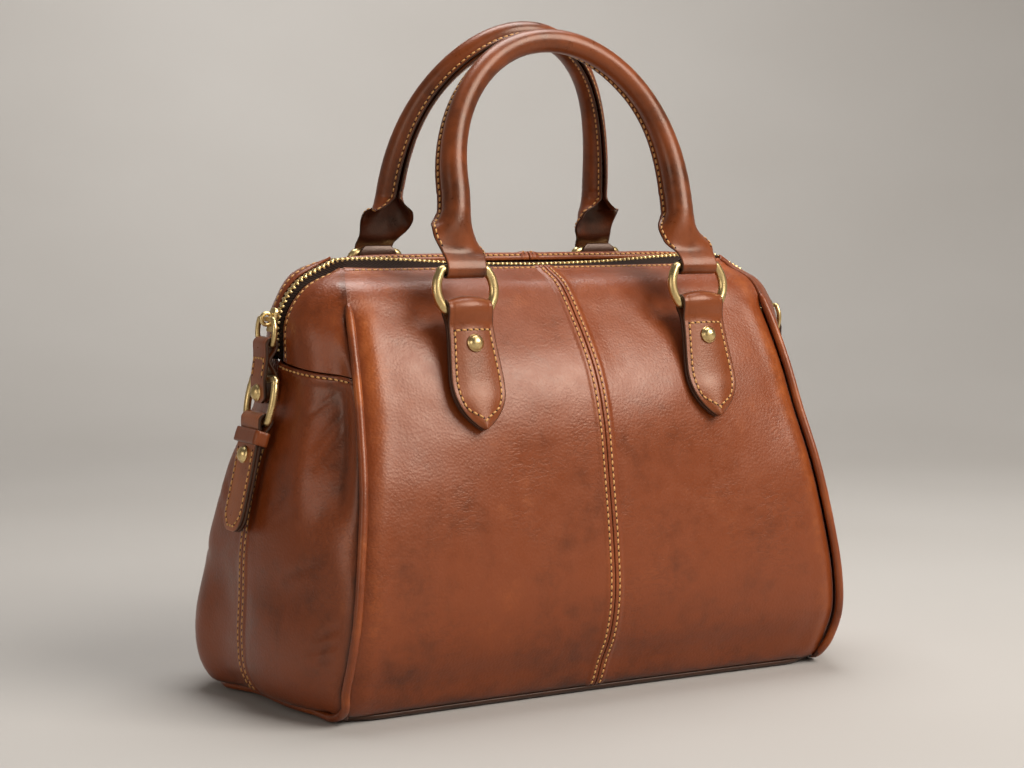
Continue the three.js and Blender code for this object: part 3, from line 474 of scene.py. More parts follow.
def sheet(spot, columns, rows, wall):
    """An open skin that faces out of the bag, with a wall inside its faces."""
    bm = closed_skin(spot, columns, rows)
    centre = BODY_CENTRE * MM
    lean = sum(face.normal.dot(face.calc_center_median() - centre) * face.calc_area() for face in bm.faces)
    if lean < 0:
        bmesh.ops.reverse_faces(bm, faces=bm.faces)
    bm.normal_update()
    normals = {vert.co.copy().freeze(): vert.normal.copy() for vert in bm.verts}
    made = bmesh.ops.extrude_face_region(bm, geom=bm.faces[:], use_keep_orig=True)["geom"]
    for vert in made:
        if isinstance(vert, bmesh.types.BMVert):
            vert.co -= normals[vert.co.copy().freeze()] * wall * MM
    bmesh.ops.recalc_face_normals(bm, faces=bm.faces)
    return bm


def fit_piece(node, bm, material, slot, body="bag"):
    """Makes the piece that stands for a solid and hands it to its body and finish."""
    made = new_object(f"{node}_{PIECE_ENDINGS[slot]}", bm, material)
    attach(made, body)
    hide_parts(node)


def calculated(material, operation, *values):
    """Result of a sum of numbers and sockets."""
    return add_node(material, "ShaderNodeMath", dict(enumerate(values)), operation=operation).outputs[0]


def ranged(material, value, low, high, to_low=0.0, to_high=1.0, way="LINEAR"):
    """Value taken from one range to another and kept within it."""
    sockets = {"Value": value, "From Min": low, "From Max": high, "To Min": to_low, "To Max": to_high}
    return add_node(material, "ShaderNodeMapRange", sockets, interpolation_type=way).outputs[0]


def bumped(material, height, strength, depth_mm):
    """Normal of a surface with a fine relief."""
    sockets = {"Height": height, "Strength": strength, "Distance": depth_mm * MM}
    return add_node(material, "ShaderNodeBump", sockets).outputs[0]


# Waxed pull-up cowhide: cognac brown that goes orange where it is stretched, darkened as painted shade in
# its seams and creases and along the lines of its wrinkles. A pebbled grain of about 1.4 mm, drawn coarse
# enough to show, and patches of short wrinkles break up a satin sheen. Cut edges carry a coat of dark edge
# paint.
EDGE_PAINT = "2b1911"
WAX_TINT = "ffdcc4"
FLECK_MM = 9
WRINKLE_MM = (8, 5, 3.4)
WRINKLE_TURN = (0.3, 0.5, 0.6)
WRINKLE_PATCH_MM = 34
GRAIN_DEPTH_MM = 0.35


def make_leather(name, dark, plain, light, mottle_mm=44, grain_mm=1.4,
                 wrinkle=1.0, roughness=0.37, grain=0.33, coat=0.3):
    """A leather with its own colours, as a node material."""
    material, shader, place = new_material(name)
    cloud = clouds(material, place, mottle_mm, Detail=5, Roughness=0.6, Distortion=0.4)
    fleck = clouds(material, place, FLECK_MM, Detail=4, Roughness=0.62)
    tone = add_node(material, "ShaderNodeAttribute", attribute_name="tone").outputs["Fac"]
    clouded = calculated(material, "MULTIPLY_ADD", cloud, 0.6, tone)
    flecked = calculated(material, "MULTIPLY_ADD", fleck, 0.4, clouded)
    level = calculated(material, "SUBTRACT", flecked, 0.5)
    low = ranged(material, level, 0.05, 0.5, way="SMOOTHSTEP")
    high = ranged(material, level, 0.5, 1.0, way="SMOOTHSTEP")
    colour = mixed_colour(material, high, mixed_colour(material, low, dark, plain), light)

    # Short wrinkles: thin level lines of a stretched noise, kept to patches
    stretch = tuple(1000 / size for size in WRINKLE_MM)
    drawn = add_node(
        material, "ShaderNodeMapping", {"Vector": place, "Rotation": WRINKLE_TURN, "Scale": stretch},
    )
    strand = add_node(
        material, "ShaderNodeTexNoise",
        {"Vector": drawn.outputs[0], "Scale": 1.0, "Detail": 2, "Distortion": 0.7},
    )
    off_level = calculated(material, "SUBTRACT", strand.outputs["Fac"], 0.5)
    crease = ranged(material, calculated(material, "ABSOLUTE", off_level), 0.0, 0.075, 1.0, 0.0)
    patch = clouds(material, place, WRINKLE_PATCH_MM, Detail=2, Roughness=0.5)
    patched = ranged(material, patch, 0.46, 0.66, to_high=wrinkle)
    wrinkled = calculated(material, "MULTIPLY", crease, patched)
    pebble = add_node(
        material, "ShaderNodeTexVoronoi", {"Vector": place, "Scale": 1000 / grain_mm, "Smoothness": 0.6},
        feature="SMOOTH_F1",
    )
    grained = calculated(material, "MULTIPLY_ADD", wrinkled, -0.5, pebble.outputs["Distance"])

    # Painted shade: the lines of the wrinkles are darkened toward the dark colour
    crease_shaded = mixed_colour(material, calculated(material, "MULTIPLY", wrinkled, 0.2), colour, dark)
    paint = add_node(material, "ShaderNodeAttribute", attribute_name="paint").outputs["Fac"]
    feed(material, shader, {
        "Base Color": mixed_colour(material, paint, crease_shaded, EDGE_PAINT),
        "Roughness": ranged(material, fleck, 0.3, 0.7, roughness - 0.07, roughness + 0.09),
        "Normal": bumped(material, grained, grain, GRAIN_DEPTH_MM),
        "Specular Tint": linear(WAX_TINT), "Coat Weight": coat, "Coat Roughness": 0.28,
    })
    return material


body_leather = make_leather("waxed_cognac_cowhide", "3a1708", "7a3714", "ac5a23")

for end_name, end in ENDS.items():
    for face_name, face in FACES.items():
        def panel_vertex(u, v):
            up = crowded(v)
            _, edge, _ = body_lines(up)
            closing = mixed(SEAM_GAP, PIPED_SEAM, piped(up))
            across = mixed(SEAM_GAP, edge.x - closing, crowded(u)) / edge.x
            point, _, tone = panel_spot(across, up, end, face)
            return point, tone, 0
        bm = sheet(panel_vertex, PANEL_COLUMNS, PANEL_ROWS, WALL)
        fit_piece(f"{face_name}_panel_{end_name}", bm, body_leather, "leather")

# Stitching on the body panels
# Waxed golden tan thread in even saddle stitches with a dark spot of painted shade for the needle hole
# between
# each two: a double row beside each centre seam and a single row along the folded edge of the mouth.
SEAM_STITCHED = (0.01, 0.982)
MOUTH_STITCHED = (0.045, 0.955)
STITCH_PITCH = 3.5
STITCH_LONG = 2.7
STITCH_WIDE = 1.25
STITCH_SLANT = 0.12
STITCH_LIFT = 0.1
HOLE_WIDE = 1.3
HOLE_DEEP = 0.4
HOLE_SINK = 0.02
THREAD = "dda868"
THREAD_DARK = "b37f43"
STRAND_MM = 1.2
HOLE_SHADE = "1d0e08"
HOLE_EDGE_SHADE = "32180d"
HOLE_FIBRE_MM = 0.6


def measured(points):
    """Lengths along a row of points."""
    lengths = [0.0]
    for first, second in zip(points, points[1:]):
        lengths.append(lengths[-1] + (second - first).length)
    return lengths


def at_length(lengths, distance):
    """Share of a measured row of points at a distance along it."""
    high = min(max(bisect.bisect_left(lengths, distance), 1), len(lengths) - 1)
    part = (distance - lengths[high - 1]) / max(lengths[high] - lengths[high - 1], 1e-9)
    return (high - 1 + part) / (len(lengths) - 1)


def laid_along(axes, centre):
    """Matrix that lays a unit shape along three axes about a centre, all in millimetres."""
    basis = Matrix([axis * MM for axis in axes]).transposed().to_4x4()
    basis.translation = centre * MM
    return basis


def sew(name, body, rows, steps=160):
    """Stitches and dark spots of painted shade for the needle holes along rows that give a point in
    millimetres and an outward direction.
    """
    bm = bmesh.new()
    for row in rows:
        spots = [row(k / steps) for k in range(steps + 1)]
        lengths = measured([point for point, _ in spots])
        count = max(round(lengths[-1] / STITCH_PITCH), 1)
        for k in range(2 * count + 1):
            place = at_length(lengths, lengths[-1] * k / (2 * count)) * steps
            low = min(int(place), steps - 1)
            centre = spots[low][0].lerp(spots[low + 1][0], place - low)
            out = spots[low][1].lerp(spots[low + 1][1], place - low).normalized()
            along = (spots[low + 1][0] - spots[low][0]).normalized()
            side = along.cross(out).normalized()
            if k % 2:
                way = (along + side * STITCH_SLANT).normalized()
                across = way.cross(out).normalized()
                sizes = (across * STITCH_WIDE, out * STITCH_WIDE, way * STITCH_LONG)
                centre = centre + out * STITCH_LIFT
            else:
                # a flattened dark blob of painted shade stands for the needle hole
                sizes = (along * HOLE_WIDE, side * HOLE_WIDE, out * HOLE_DEEP)
                centre = centre - out * HOLE_SINK
            basis = laid_along([size * 0.5 for size in sizes], centre)
            made = bmesh.ops.create_uvsphere(bm, u_segments=6, v_segments=4, radius=1, matrix=basis)
            for face in {face for vert in made["verts"] for face in vert.link_faces}:
                face.material_index = 0 if k % 2 else 1
    made = new_object(name, bm, thread, needle_hole_shade)
    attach(made, body)


# Waxed linen thread: golden tan with fine darker strands
thread, thread_shader, thread_place = new_material("waxed_linen_thread")
strands = clouds(thread, thread_place, STRAND_MM, Detail=3)
feed(thread, thread_shader, {
    "Base Color": mixed_colour(thread, strands, THREAD, THREAD_DARK), "Roughness": 0.52,
    "Normal": bumped(thread, strands, 0.5, 0.2),
})

# Pricked needle hole: painted shade of the hole, near black, with faint fibres of raw leather
needle_hole_shade, hole_shader, hole_place = new_material("needle_hole_painted_shade")
hole_colour = mixed_colour(needle_hole_shade, clouds(needle_hole_shade, hole_place, HOLE_FIBRE_MM), HOLE_SHADE, HOLE_EDGE_SHADE)
feed(needle_hole_shade, hole_shader, {"Base Color": hole_colour, "Roughness": 0.9})

for face_name, face in FACES.items():
    rows = []
    for end in ENDS.values():
        def seam_stitch(share, end=end):
            up = mixed(*SEAM_STITCHED, share)
            return panel_spot(SEAM_ROW / body_lines(up)[1].x, up, end, face)[:2]
        def mouth_stitch(share, end=end):
            up = 1 - MOUTH_ROW / MOUTH_SPAN
            return panel_spot(mixed(*MOUTH_STITCHED, share), up, end, face)[:2]
        rows += [seam_stitch, mouth_stitch]
    sew(f"{face_name}_panel_stitches", "bag", rows)

# End gussets
# Two lower panels of the same leather at each end, joined by a felled seam down the middle. They are
# sewn into the piping at the sides and foot, and their folded top edge laps over the wings above.
END_BULGE_POWER = {1: 2.2, -1: 4}
END_FOLDS = table(
    "across height depth wide tall",
    (0.2, 150, 7, 0.17, 42),
    (0.42, 128, -2.5, 0.14, 30),
    (0.16, 94, -2, 0.12, 16),
    (0.5, 66, 2, 0.3, 14),
)
BACK_SWELL = [dict(across=0.36, height=15, depth=-12, wide=0.28, tall=91)]
# Sharp creases from one place to another, as distance from the piping and height
GUSSET_CREASES = table(
    "start stop depth wide",
    ((13, 186), (15, 106), 0.8, 4.5),
    ((13, 160), (34, 139), 0.55, 1.6),
    ((14, 151), (31, 129), 0.5, 1.5),
    ((15, 169), (38, 154), 0.45, 1.5),
    ((44, 119), (64, 107), 0.6, 1.7),
    ((39, 110), (61, 99), 0.6, 1.6),
    ((9, 54), (26, 45), 0.9, 2.0),
    ((9, 45), (28, 38), 0.9, 1.9),
    ((10, 37), (24, 33), 0.7, 1.7),
    ((24, 84), (52, 74), 0.7, 2.4),
)
FOOT_SAG = 5
GUSSET_COLUMNS = 96
GUSSET_ROWS = 130
TOP_ROW = 2.8
GUSSET_STITCH_END = 6
TOP_STITCH_END = 4


def end_base(across, up, end, face, seam_depth):
    """Point of an end without its fine relief."""
    _, edge, middle = body_lines(up)
    power = mixed(END_BULGE_POWER[face], END_BULGE_POWER[1], min(up / WING_START, 1))
    height = mixed(edge.z, middle.z, across)
    fold = soft_depth(END_FOLDS, across, height)
    if face < 0:
        fold += soft_depth(BACK_SWELL, across, height)
    x = mixed(edge.x, middle.x, 1 - (1 - across) ** power) - fold * (1 - (1 - across) ** SEAM_FADE)
    return placed(Vector((x, -mixed(edge.y, seam_depth, across), height)), end, face)


@functools.lru_cache(maxsize=None)
def end_row(up, face, seam_depth):
    """Lengths along one level of an end, from the piping to the middle."""
    return measured([end_base(k / 40, up, 1, face, seam_depth) for k in range(41)])


def crease_depth(rows, place, height):
    """Depth of a table of sharp creases at a place."""
    depth = 0
    for row in rows:
        start, stop = Vector(row["start"]), Vector(row["stop"])
        way = stop - start
        share = min(max((Vector((place, height)) - start).dot(way) / way.length_squared, 0), 1)
        away = (Vector((place, height)) - start - way * share).length
        depth += row["depth"] * math.exp(-(away / row["wide"]) ** 2) * math.sin(math.pi * share) ** 0.5
    return depth


def foot_drop(across, distance):
    """Sag of the foot of a gusset over the seam below it."""
    sag = mixed(PANEL_SAG, FOOT_SAG, eased(0.08, 0.35, across))
    return Vector((0, 0, sag * (1 - eased(0, FOOT_FADE, distance))))


GUSSET_LENGTHS = measured([body_lines(WING_START * k / 60)[1] for k in range(61)])


def gusset_spot(from_piping, distance, end, face):
    """Point, normal and tone of a gusset by its distance from the piping and from the foot."""
    up = at_length(GUSSET_LENGTHS, distance) * WING_START
    lengths = end_row(up, face, 0)
    across = min(max(at_length(lengths, from_piping), 0), 1)
    surface = lambda u, v: end_base(u, v, end, face, 0)
    base = surface(across, up)
    outward = outward_at(surface, across, up)
    from_seam = lengths[-1] - from_piping
    from_top = GUSSET_LENGTHS[-1] - distance
    inside = eased(2.6, 13, from_piping) * eased(2, 10, from_top) * eased(2, 12, distance)
    crease = crease_depth(GUSSET_CREASES, from_piping, base.z) * inside
    relief = swell(base, inside * eased(3, 14, from_seam)) * 1.3 + seam_relief(from_seam) - crease
    beside, above = max(from_piping - PIPED_SEAM, 0), max(distance - PIPED_SEAM, 0)
    tucked = 1.7 * math.exp(-beside / 2.2) + 1.5 * math.exp(-above / 2.2)
    relief -= tucked * eased(4, 14, math.hypot(from_piping, distance))
    relief += 0.7 * (1 - eased(4, 9, from_top)) - 0.3 * hump(from_top, TOP_ROW, 0.55)
    relief -= 0.9 * math.exp(-from_top / 0.6)
    # Tone: lighter over the roll by the piping and the seam band; darkened as painted shade in the creases
    # and fold dents, along the seams to the piping and the foot, in the centre seam's groove and at the
    # folded top edge
    tone = 0.46 + 0.16 * hump(from_piping, 8, 5) + 0.1 * (1 - eased(3, 7, from_seam)) - 0.08 * crease
    tone -= 0.5 * math.exp(-beside / 1.6) + 0.25 * hump(from_seam, 0, 0.4)
    tone -= 0.4 * math.exp(-above / 2.5) + 0.3 * math.exp(-from_top / 0.7)
    tone -= 0.02 * soft_depth(END_FOLDS, across, base.z)
    return base + outward * relief - foot_drop(across, distance), outward, tone


for end_name, end in ENDS.items():
    rows = []
    for face_name, face in FACES.items():
        def gusset_vertex(u, v):
            foot = mixed(SEAM_GAP, PIPED_SEAM, eased(0.06, 0.16, crowded(u)))
            distance = mixed(foot, GUSSET_LENGTHS[-1] - GAP, crowded(v))
            up = at_length(GUSSET_LENGTHS, distance) * WING_START
            span = end_row(up, face, 0)[-1]
            side = mixed(SEAM_GAP, PIPED_SEAM, eased(9, 15, distance))
            from_piping = mixed(side, span - SEAM_GAP, crowded(u))
            point, _, tone = gusset_spot(from_piping, distance, end, face)
            return point, tone, 0
        bm = sheet(gusset_vertex, GUSSET_COLUMNS, GUSSET_ROWS, WALL)
        fit_piece(f"gusset_{end_name}_{face_name}", bm, body_leather, "leather")

        def seam_stitch(share, face=face):
            distance = mixed(GUSSET_STITCH_END, GUSSET_LENGTHS[-1] - GUSSET_STITCH_END, share)
            span = end_row(at_length(GUSSET_LENGTHS, distance) * WING_START, face, 0)[-1]
            return gusset_spot(span - SEAM_ROW, distance, end, face)[:2]
        def top_stitch(share, face=face):
            distance = GUSSET_LENGTHS[-1] - TOP_ROW
            span = end_row(at_length(GUSSET_LENGTHS, distance) * WING_START, face, 0)[-1]
            from_piping = mixed(GUSSET_STITCH_END, span - TOP_STITCH_END, share)
            return gusset_spot(from_piping, distance, end, face)[:2]
        rows += [seam_stitch, top_stitch]
    sew(f"gusset_{end_name}_stitches", "bag", rows)

# Wings
# Small upper end panels that carry the zip round the corner of the bag. Each is sewn under the gusset
# and into the piping, and its edge beside the zip is folded and stitched.
ZIP_EDGE = 5.8
WING_ROW = 3.9
WING_STITCHED = (0.03, 0.9)
WING_COLUMNS = 60
WING_ROWS = 70
WING_LENGTHS = measured([body_lines(mixed(WING_START, 1, k / 40))[1] for k in range(41)])


def tip_rise(up, end):
    """Lift of the zip edge of a front wing toward the corner of the mouth."""
    return TIP_RISE[end] * (1 - eased(0, 16, (1 - up) * MOUTH_SPAN))


def wing_spot(from_zip, share, end, face):
    """Point, normal and tone of a wing by its distance from the zip edge and its share of the rise."""
    up = mixed(WING_START, 1, share)
    lengths = end_row(up, face, ZIP_EDGE)
    across = min(max(at_length(lengths, lengths[-1] - from_zip), 0), 1)
    surface = lambda u, v: end_base(u, v, end, face, ZIP_EDGE)
    base = surface(across, up)
    outward = outward_at(surface, across, up)
    from_piping = lengths[-1] - from_zip
    inside = eased(2, 10, from_zip) * eased(2.6, 11, from_piping)
    folded = 1 - eased(0.85, 1, share)
    relief = swell(base, inside) * 1.5 - 0.3 * hump(from_zip, WING_ROW, 0.55)
    relief -= 0.9 * folded * math.exp(-from_zip / 1.3)
    relief -= mixed(0.05, 1.5, piped(up)) * math.exp(-max(from_piping - PIPED_SEAM, 0) / 2.2)
    # Tone: a little lighter by the folded zip edge and over the roll by the piping; darkened as painted
    # shade at the seam to the piping, in the stitch channel and on the fold between the zip edge and the
    # stitches
    tone = 0.46 + 0.08 * (1 - eased(4, 12, from_zip)) + 0.12 * hump(from_piping, 8, 5)
    tone -= mixed(0.12, 0.45, piped(up)) * math.exp(-max(from_piping - PIPED_SEAM, 0) / 1.6)
    tone -= 0.25 * hump(from_zip, WING_ROW, 0.6) + 0.2 * folded * (1 - eased(1.5, WING_ROW, from_zip))
    lift = Vector((0, 0, 0))
    if face > 0:
        from_mouth = (1 - up) * MOUTH_SPAN
        tip = tip_rise(up, end)
        seam = from_table(MOUTH_LIPS[face], "away", "rise", from_mouth) * (1 + CORNER_RISE[end])
        lift.z = mixed(tip, seam, eased(0, 6, from_zip) if lengths[-1] > 6 else from_zip / lengths[-1])
    return base + lift + outward * relief, outward, tone


for end_name, end in ENDS.items():
    rows = []
    for face_name, face in FACES.items():
        def wing_vertex(u, v):
            share = at_length(WING_LENGTHS, mixed(GAP, WING_LENGTHS[-1], crowded(v)))
            up = mixed(WING_START, 1, share)
            span = end_row(up, face, ZIP_EDGE)[-1]
            closing = min(mixed(SEAM_GAP, PIPED_SEAM, piped(up)), span * 0.5)
            point, _, tone = wing_spot(mixed(span - closing, 0, crowded(u)), share, end, face)
            return point, tone, 0
        bm = sheet(wing_vertex, WING_COLUMNS, WING_ROWS, WALL)
        fit_piece(f"wing_{end_name}_{face_name}", bm, body_leather, "leather")

        def zip_stitch(share, face=face):
            return wing_spot(WING_ROW, mixed(*WING_STITCHED, share), end, face)[:2]
        rows.append(zip_stitch)
    sew(f"wing_{end_name}_stitches", "bag", rows)

# Piping
# A leather covered cord sewn into the seam round each end: down the front, along the foot of the gusset
# and up the back. It thins out under the corner of the zip.
PIPING_RADIUS = 2.3
PIPING_CORNER = 12
PIPING_TUCK = 6
PIPING_STEPS = 420
PIPING_SIDES = 14


def tube(route, radius_at, hint, steps, sides, tone_at=lambda share: 0.5):
    """A round cord along route(share), whose first side looks along hint(point)."""
    def spot(u, v):
        point = route(u)
        along = (route(u + 0.4 / steps) - route(u - 0.4 / steps)).normalized()
        out = hint(point)
        out = (out - along * out.dot(along)).normalized()
        turn = 2 * math.pi * v
        spoke = out * math.cos(turn) + along.cross(out) * math.sin(turn)
        return point + spoke * radius_at(u), tone_at(u), 0
    return closed_skin(spot, steps, sides)


def along_points(points):
    """A route by share of length through a row of points, straight on beyond its ends."""
    lengths = measured(points)
    last = len(points) - 1

    def route(share):
        place = at_length(lengths, share * lengths[-1]) * last
        low = min(max(int(place), 0), last - 1)
        return points[low] + (points[low + 1] - points[low]) * (place - low)
    return route


def piping_half(end, face):
    """Points of the piping from its top end to the middle of the foot."""
    edge = lambda up: end_base(0, up, end, face, 0) - Vector((0, 0, foot_sag(up)))
    lengths = measured([edge(k / 120) for k in range(121)])
    bend = at_length(lengths, PIPING_CORNER)
    points = [edge(mixed(PIPING_TOP + 0.012, bend, k / 110)) for k in range(111)]
    foot_lengths = end_row(0, face, 0)
    first = at_length(foot_lengths, PIPING_CORNER)
    corner = edge(0)
    upward = edge(bend) - corner
    inward = end_base(first, 0, end, face, 0) - Vector((0, 0, PANEL_SAG)) - corner
    for k in range(1, 8):
        turn = math.pi / 2 * k / 8
        points.append(corner + upward * (1 - math.sin(turn)) + inward * (1 - math.cos(turn)))
    for k in range(41):
        across = mixed(first, 1, k / 40)
        tuck = PIPING_TUCK * eased(0.08, 0.4, across)
        points.append(end_base(across, 0, end, face, 0) - Vector((tuck * end, 0, PANEL_SAG)))
    return points


for end_name, end in ENDS.items():
    points = piping_half(end, 1) + piping_half(end, -1)[-2::-1]
    route = along_points(points)

    def piping_radius(share):
        worn = 1 + 0.05 * noise.noise(Vector((share * 90, end, 0)))
        return PIPING_RADIUS * worn * (1 - (1 - min(share, 1 - share, 0.02) / 0.02) ** 2) ** 0.5

    bm = tube(route, piping_radius, lambda point: point - BODY_CENTRE, PIPING_STEPS, PIPING_SIDES,
              lambda share: 0.56 + 0.3 * noise.noise(Vector((share * 30, 4, end))))
    fit_piece(f"piping_{end_name}", bm, body_leather, "leather")

# Base
# A flat panel of darker leather that the bag stands on. Its rim turns up to the seams of the panels
# and of the piping, where it is sewn in.
BASE_FRONT_EDGE = 3.2
BASE_FRONT_TUCK = 0.4
BASE_END_EDGE = 2.6
BASE_END_TUCK = 7
BASE_COLUMNS = 220
BASE_ROWS = 26
BASE_RIM = table(
    "share inset rise",
    (0, 0.2, 1),
    (0.12, 0.5, 0.55),
    (0.25, 2.2, 0.16),
    (0.38, 4.4, 0.03),
    (0.5, 7, 0),
)


def base_quarter(end, face):
    """Outline of a quarter of the base, with the height of its rim as z."""
    points = []
    for k in range(25):
        point = panel_base(0.9 * k / 24, 0, end, face)
        points.append(Vector((point.x, point.y + BASE_FRONT_TUCK * face, BASE_FRONT_EDGE)))
    for k in range(21):
        point = end_base(mixed(0.1, 1, k / 20), 0, end, face, 0)
        point.x -= BASE_END_TUCK * end * eased(-0.3, 0.3, k / 20)
        points.append(Vector((point.x, point.y, mixed(BASE_FRONT_EDGE, BASE_END_EDGE, min(k / 3, 1)))))
    return points


base_outline = base_quarter(1, 1) + base_quarter(1, -1)[-2::-1]
base_outline += base_quarter(-1, -1)[1:] + base_quarter(-1, 1)[-2::-1]
base_route = along_points(base_outline)


def base_vertex(u, v):
    """Point of the base: u runs round its rim and v from the rim to its middle."""
    place = base_route(u)
    along = base_route((u + 0.004) % 1) - base_route((u - 0.004) % 1)
    inward = Vector((-along.y, along.x, 0)).normalized()
    inset = from_table(BASE_RIM, "share", "inset", v)
    height = from_table(BASE_RIM, "share", "rise", v) * place.z
    flat = Vector((place.x, place.y, 0)) + inward * inset
    shrink = 1 - max(v - 0.5, 0) / 0.5
    return Vector((flat.x * shrink, flat.y * shrink, height)), 0.35, 0


# Base leather: the grain of the body's leather in dark brown, with a duller sheen
base_leather = make_leather("dark_base_leather", "1c0f09", "3f2418", "573222", roughness=0.5)
bm = sheet(base_vertex, BASE_COLUMNS, BASE_ROWS, WALL)
fit_piece("base", bm, base_leather, "leather")

# Zip
# A metal zip of antique brass teeth on dark woven tapes, sewn under the folded edges of the mouth and
# of the wings. It runs from one end seam over the top to the other.
ZIP_WAVE = [(112, 235.8), (88, 235.2), (45, 232.6), (0, 231.6)]
TEETH_HALF_WIDTH = 2.6
TOOTH_PITCH = 2.9
TOOTH = (1.5, 3.4, 2.6)
TAPE_WALL = 0.8
TAPE_INSIDE_EDGE = 1.5
TAPE = "2f1d13"
TAPE_DARK = "1a0f09"
TAPE_RIB_MM = 1.1
BRASS = "dec48c"
BRASS_DARK = "8e6f3b"
PATINA_MM = 7
ZIP_TOP = [line_through(END_LINE, 1)] + [Vector((x, 0, height)) for x, height in ZIP_WAVE]

# Woven polyester tape: dark brown, ribbed across its length
tape, tape_shader, tape_place = new_material("woven_zip_tape")
rib = add_node(
    tape, "ShaderNodeTexWave", {"Vector": tape_place, "Scale": 314 / TAPE_RIB_MM, "Distortion": 1.2},
    bands_direction="DIAGONAL",
).outputs["Fac"]
feed(tape, tape_shader, {
    "Base Color": mixed_colour(tape, rib, TAPE_DARK, TAPE), "Roughness": 0.85,
    "Normal": bumped(tape, rib, 0.5, 0.3), "Specular IOR Level": 0.2,
})

# Antique brass: warm polished metal with a brown patina in clouds and fine handling marks
brass, brass_shader, brass_place = new_material("antique_brass")
patina = clouds(brass, brass_place, PATINA_MM, Detail=5, Roughness=0.65)
patina_level = ranged(brass, patina, 0.45, 0.75, to_high=0.6)
feed(brass, brass_shader, {
    "Base Color": mixed_colour(brass, patina_level, BRASS, BRASS_DARK), "Metallic": 1.0,
    "Roughness": ranged(brass, patina, 0.3, 0.7, 0.22, 0.4),
})


def zip_half(end):
    """Centre points and sewn edges of half of the zip, from its end to the middle."""
    flip = Matrix.Diagonal((end, 1, 1))
    top = flip @ line_through(END_LINE, 1)
    spots = []
    for k in range(40):
        up = mixed(WING_START, 1, k / 40)
        edges = {face: end_base(1, up, end, face, ZIP_EDGE) for face in (1, -1)}
        edges[1].z += tip_rise(up, end)
        spots.append((flip @ line_through(END_LINE, up), edges))
    for k in range(81):
        centre = flip @ line_through(ZIP_TOP, k / 80)
        across = min(abs(centre.x) / SECTIONS[-1]["half_width"], 1)
        edges = {}
        for face in (1, -1):
            corner = end_base(1, 1, end, face, ZIP_EDGE) + centre - top
            corner.z += tip_rise(1, end) if face > 0 else 0
            edges[face] = corner.lerp(panel_shape(across, 1, end, face), eased(0.02, 0.15, k / 80))
        spots.append((centre, edges))
    return spots


zip_spots = zip_half(1) + zip_half(-1)[-2::-1]
zip_lengths = measured([centre for centre, _ in zip_spots])


def zip_normal(index):
    """Outward direction across the zip at one of its spots."""
    before = zip_spots[max(index - 2, 0)][0]
    after = zip_spots[min(index + 2, len(zip_spots) - 1)][0]
    along = (after - before).normalized()
    return Vector((along.z, 0, -along.x))


for face_name, face in FACES.items():
    def tape_vertex(u, v):
        index = round(u * (len(zip_spots) - 1))
        centre, edges = zip_spots[index]
        normal = zip_normal(index)
        sewn = edges[face] - normal * (WALL / 2) + Vector((0, face * TAPE_INSIDE_EDGE, 0))
        lip = Vector((centre.x, -face * (TEETH_HALF_WIDTH - 0.5), centre.z)) + normal * (TAPE_WALL / 2)
        return sewn.lerp(lip, v) - normal * (0.35 * math.sin(math.pi * v)), 0, 0
    bm = sheet(tape_vertex, len(zip_spots) - 1, 8, TAPE_WALL)
    fit_piece(f"zip_tape_{face_name}", bm, tape, "zip_tape")


def soften(bm, offset, segments):
    """Bevels all the edges of a bmesh by an offset in millimetres."""
    bmesh.ops.recalc_face_normals(bm, faces=bm.faces)
    bmesh.ops.bevel(
        bm, geom=bm.edges[:], offset=offset * MM, offset_type="OFFSET", segments=segments, profile=0.5,
        affect="EDGES", material=-1,
    )


bm = bmesh.new()
for face in FACES.values():
    count = int((zip_lengths[-1] - TOOTH_PITCH) / TOOTH_PITCH)
    for k in range(count):
        distance = (k + (0.75 if face > 0 else 0.25)) * TOOTH_PITCH
        place = at_length(zip_lengths, distance) * (len(zip_spots) - 1)
        low = min(int(place), len(zip_spots) - 2)
        centre = zip_spots[low][0].lerp(zip_spots[low + 1][0], place - low)
        normal = zip_normal(low)
        along = Vector((normal.z, 0, -normal.x))
        sizes = (along * TOOTH[0], Vector((0, TOOTH[1], 0)), normal * TOOTH[2])
        centre = centre + Vector((0, -face * (TEETH_HALF_WIDTH - TOOTH[1] / 2), 0))
        bmesh.ops.create_cube(bm, size=1, matrix=laid_along(sizes, centre))
soften(bm, 0.3, 1)
fit_piece("zip_teeth", bm, brass, "brass")

# Zip sliders and pull links
# A cast brass slider rides on the teeth at each end of the zip, with a round lug on its plate. An oval
# link of brass wire hangs through the lug.
SLIDER_HEIGHT = 204
SLIDER = dict(length=13, width=9, thickness=2.4, lift=1.8)
# Half of the plate's outline, as shares of its half length and of its width
SLIDER_PLATE = [(-1, 0.28), (-0.7, 0.4), (0.2, 0.42), (0.8, 0.5), (1, 0.42)]
LUG_RADIUS = 3
LUG_WIRE = 1.1
LUG_RISE = 4.85
LINK = dict(half_width=11.4, half_height=6.6, bow=2.4)
LINK_WIRE = 1.4
BUCKLE_TOP = Vector((165, 0, 174))


def up_at_height(points, height):
    """Share of a rising line at which it reaches a height."""
    low, high = 0.0, 1.0
    for _ in range(40):
        middle = (low + high) / 2
        low, high = (middle, high) if line_through(points, middle).z < height else (low, middle)
    return low


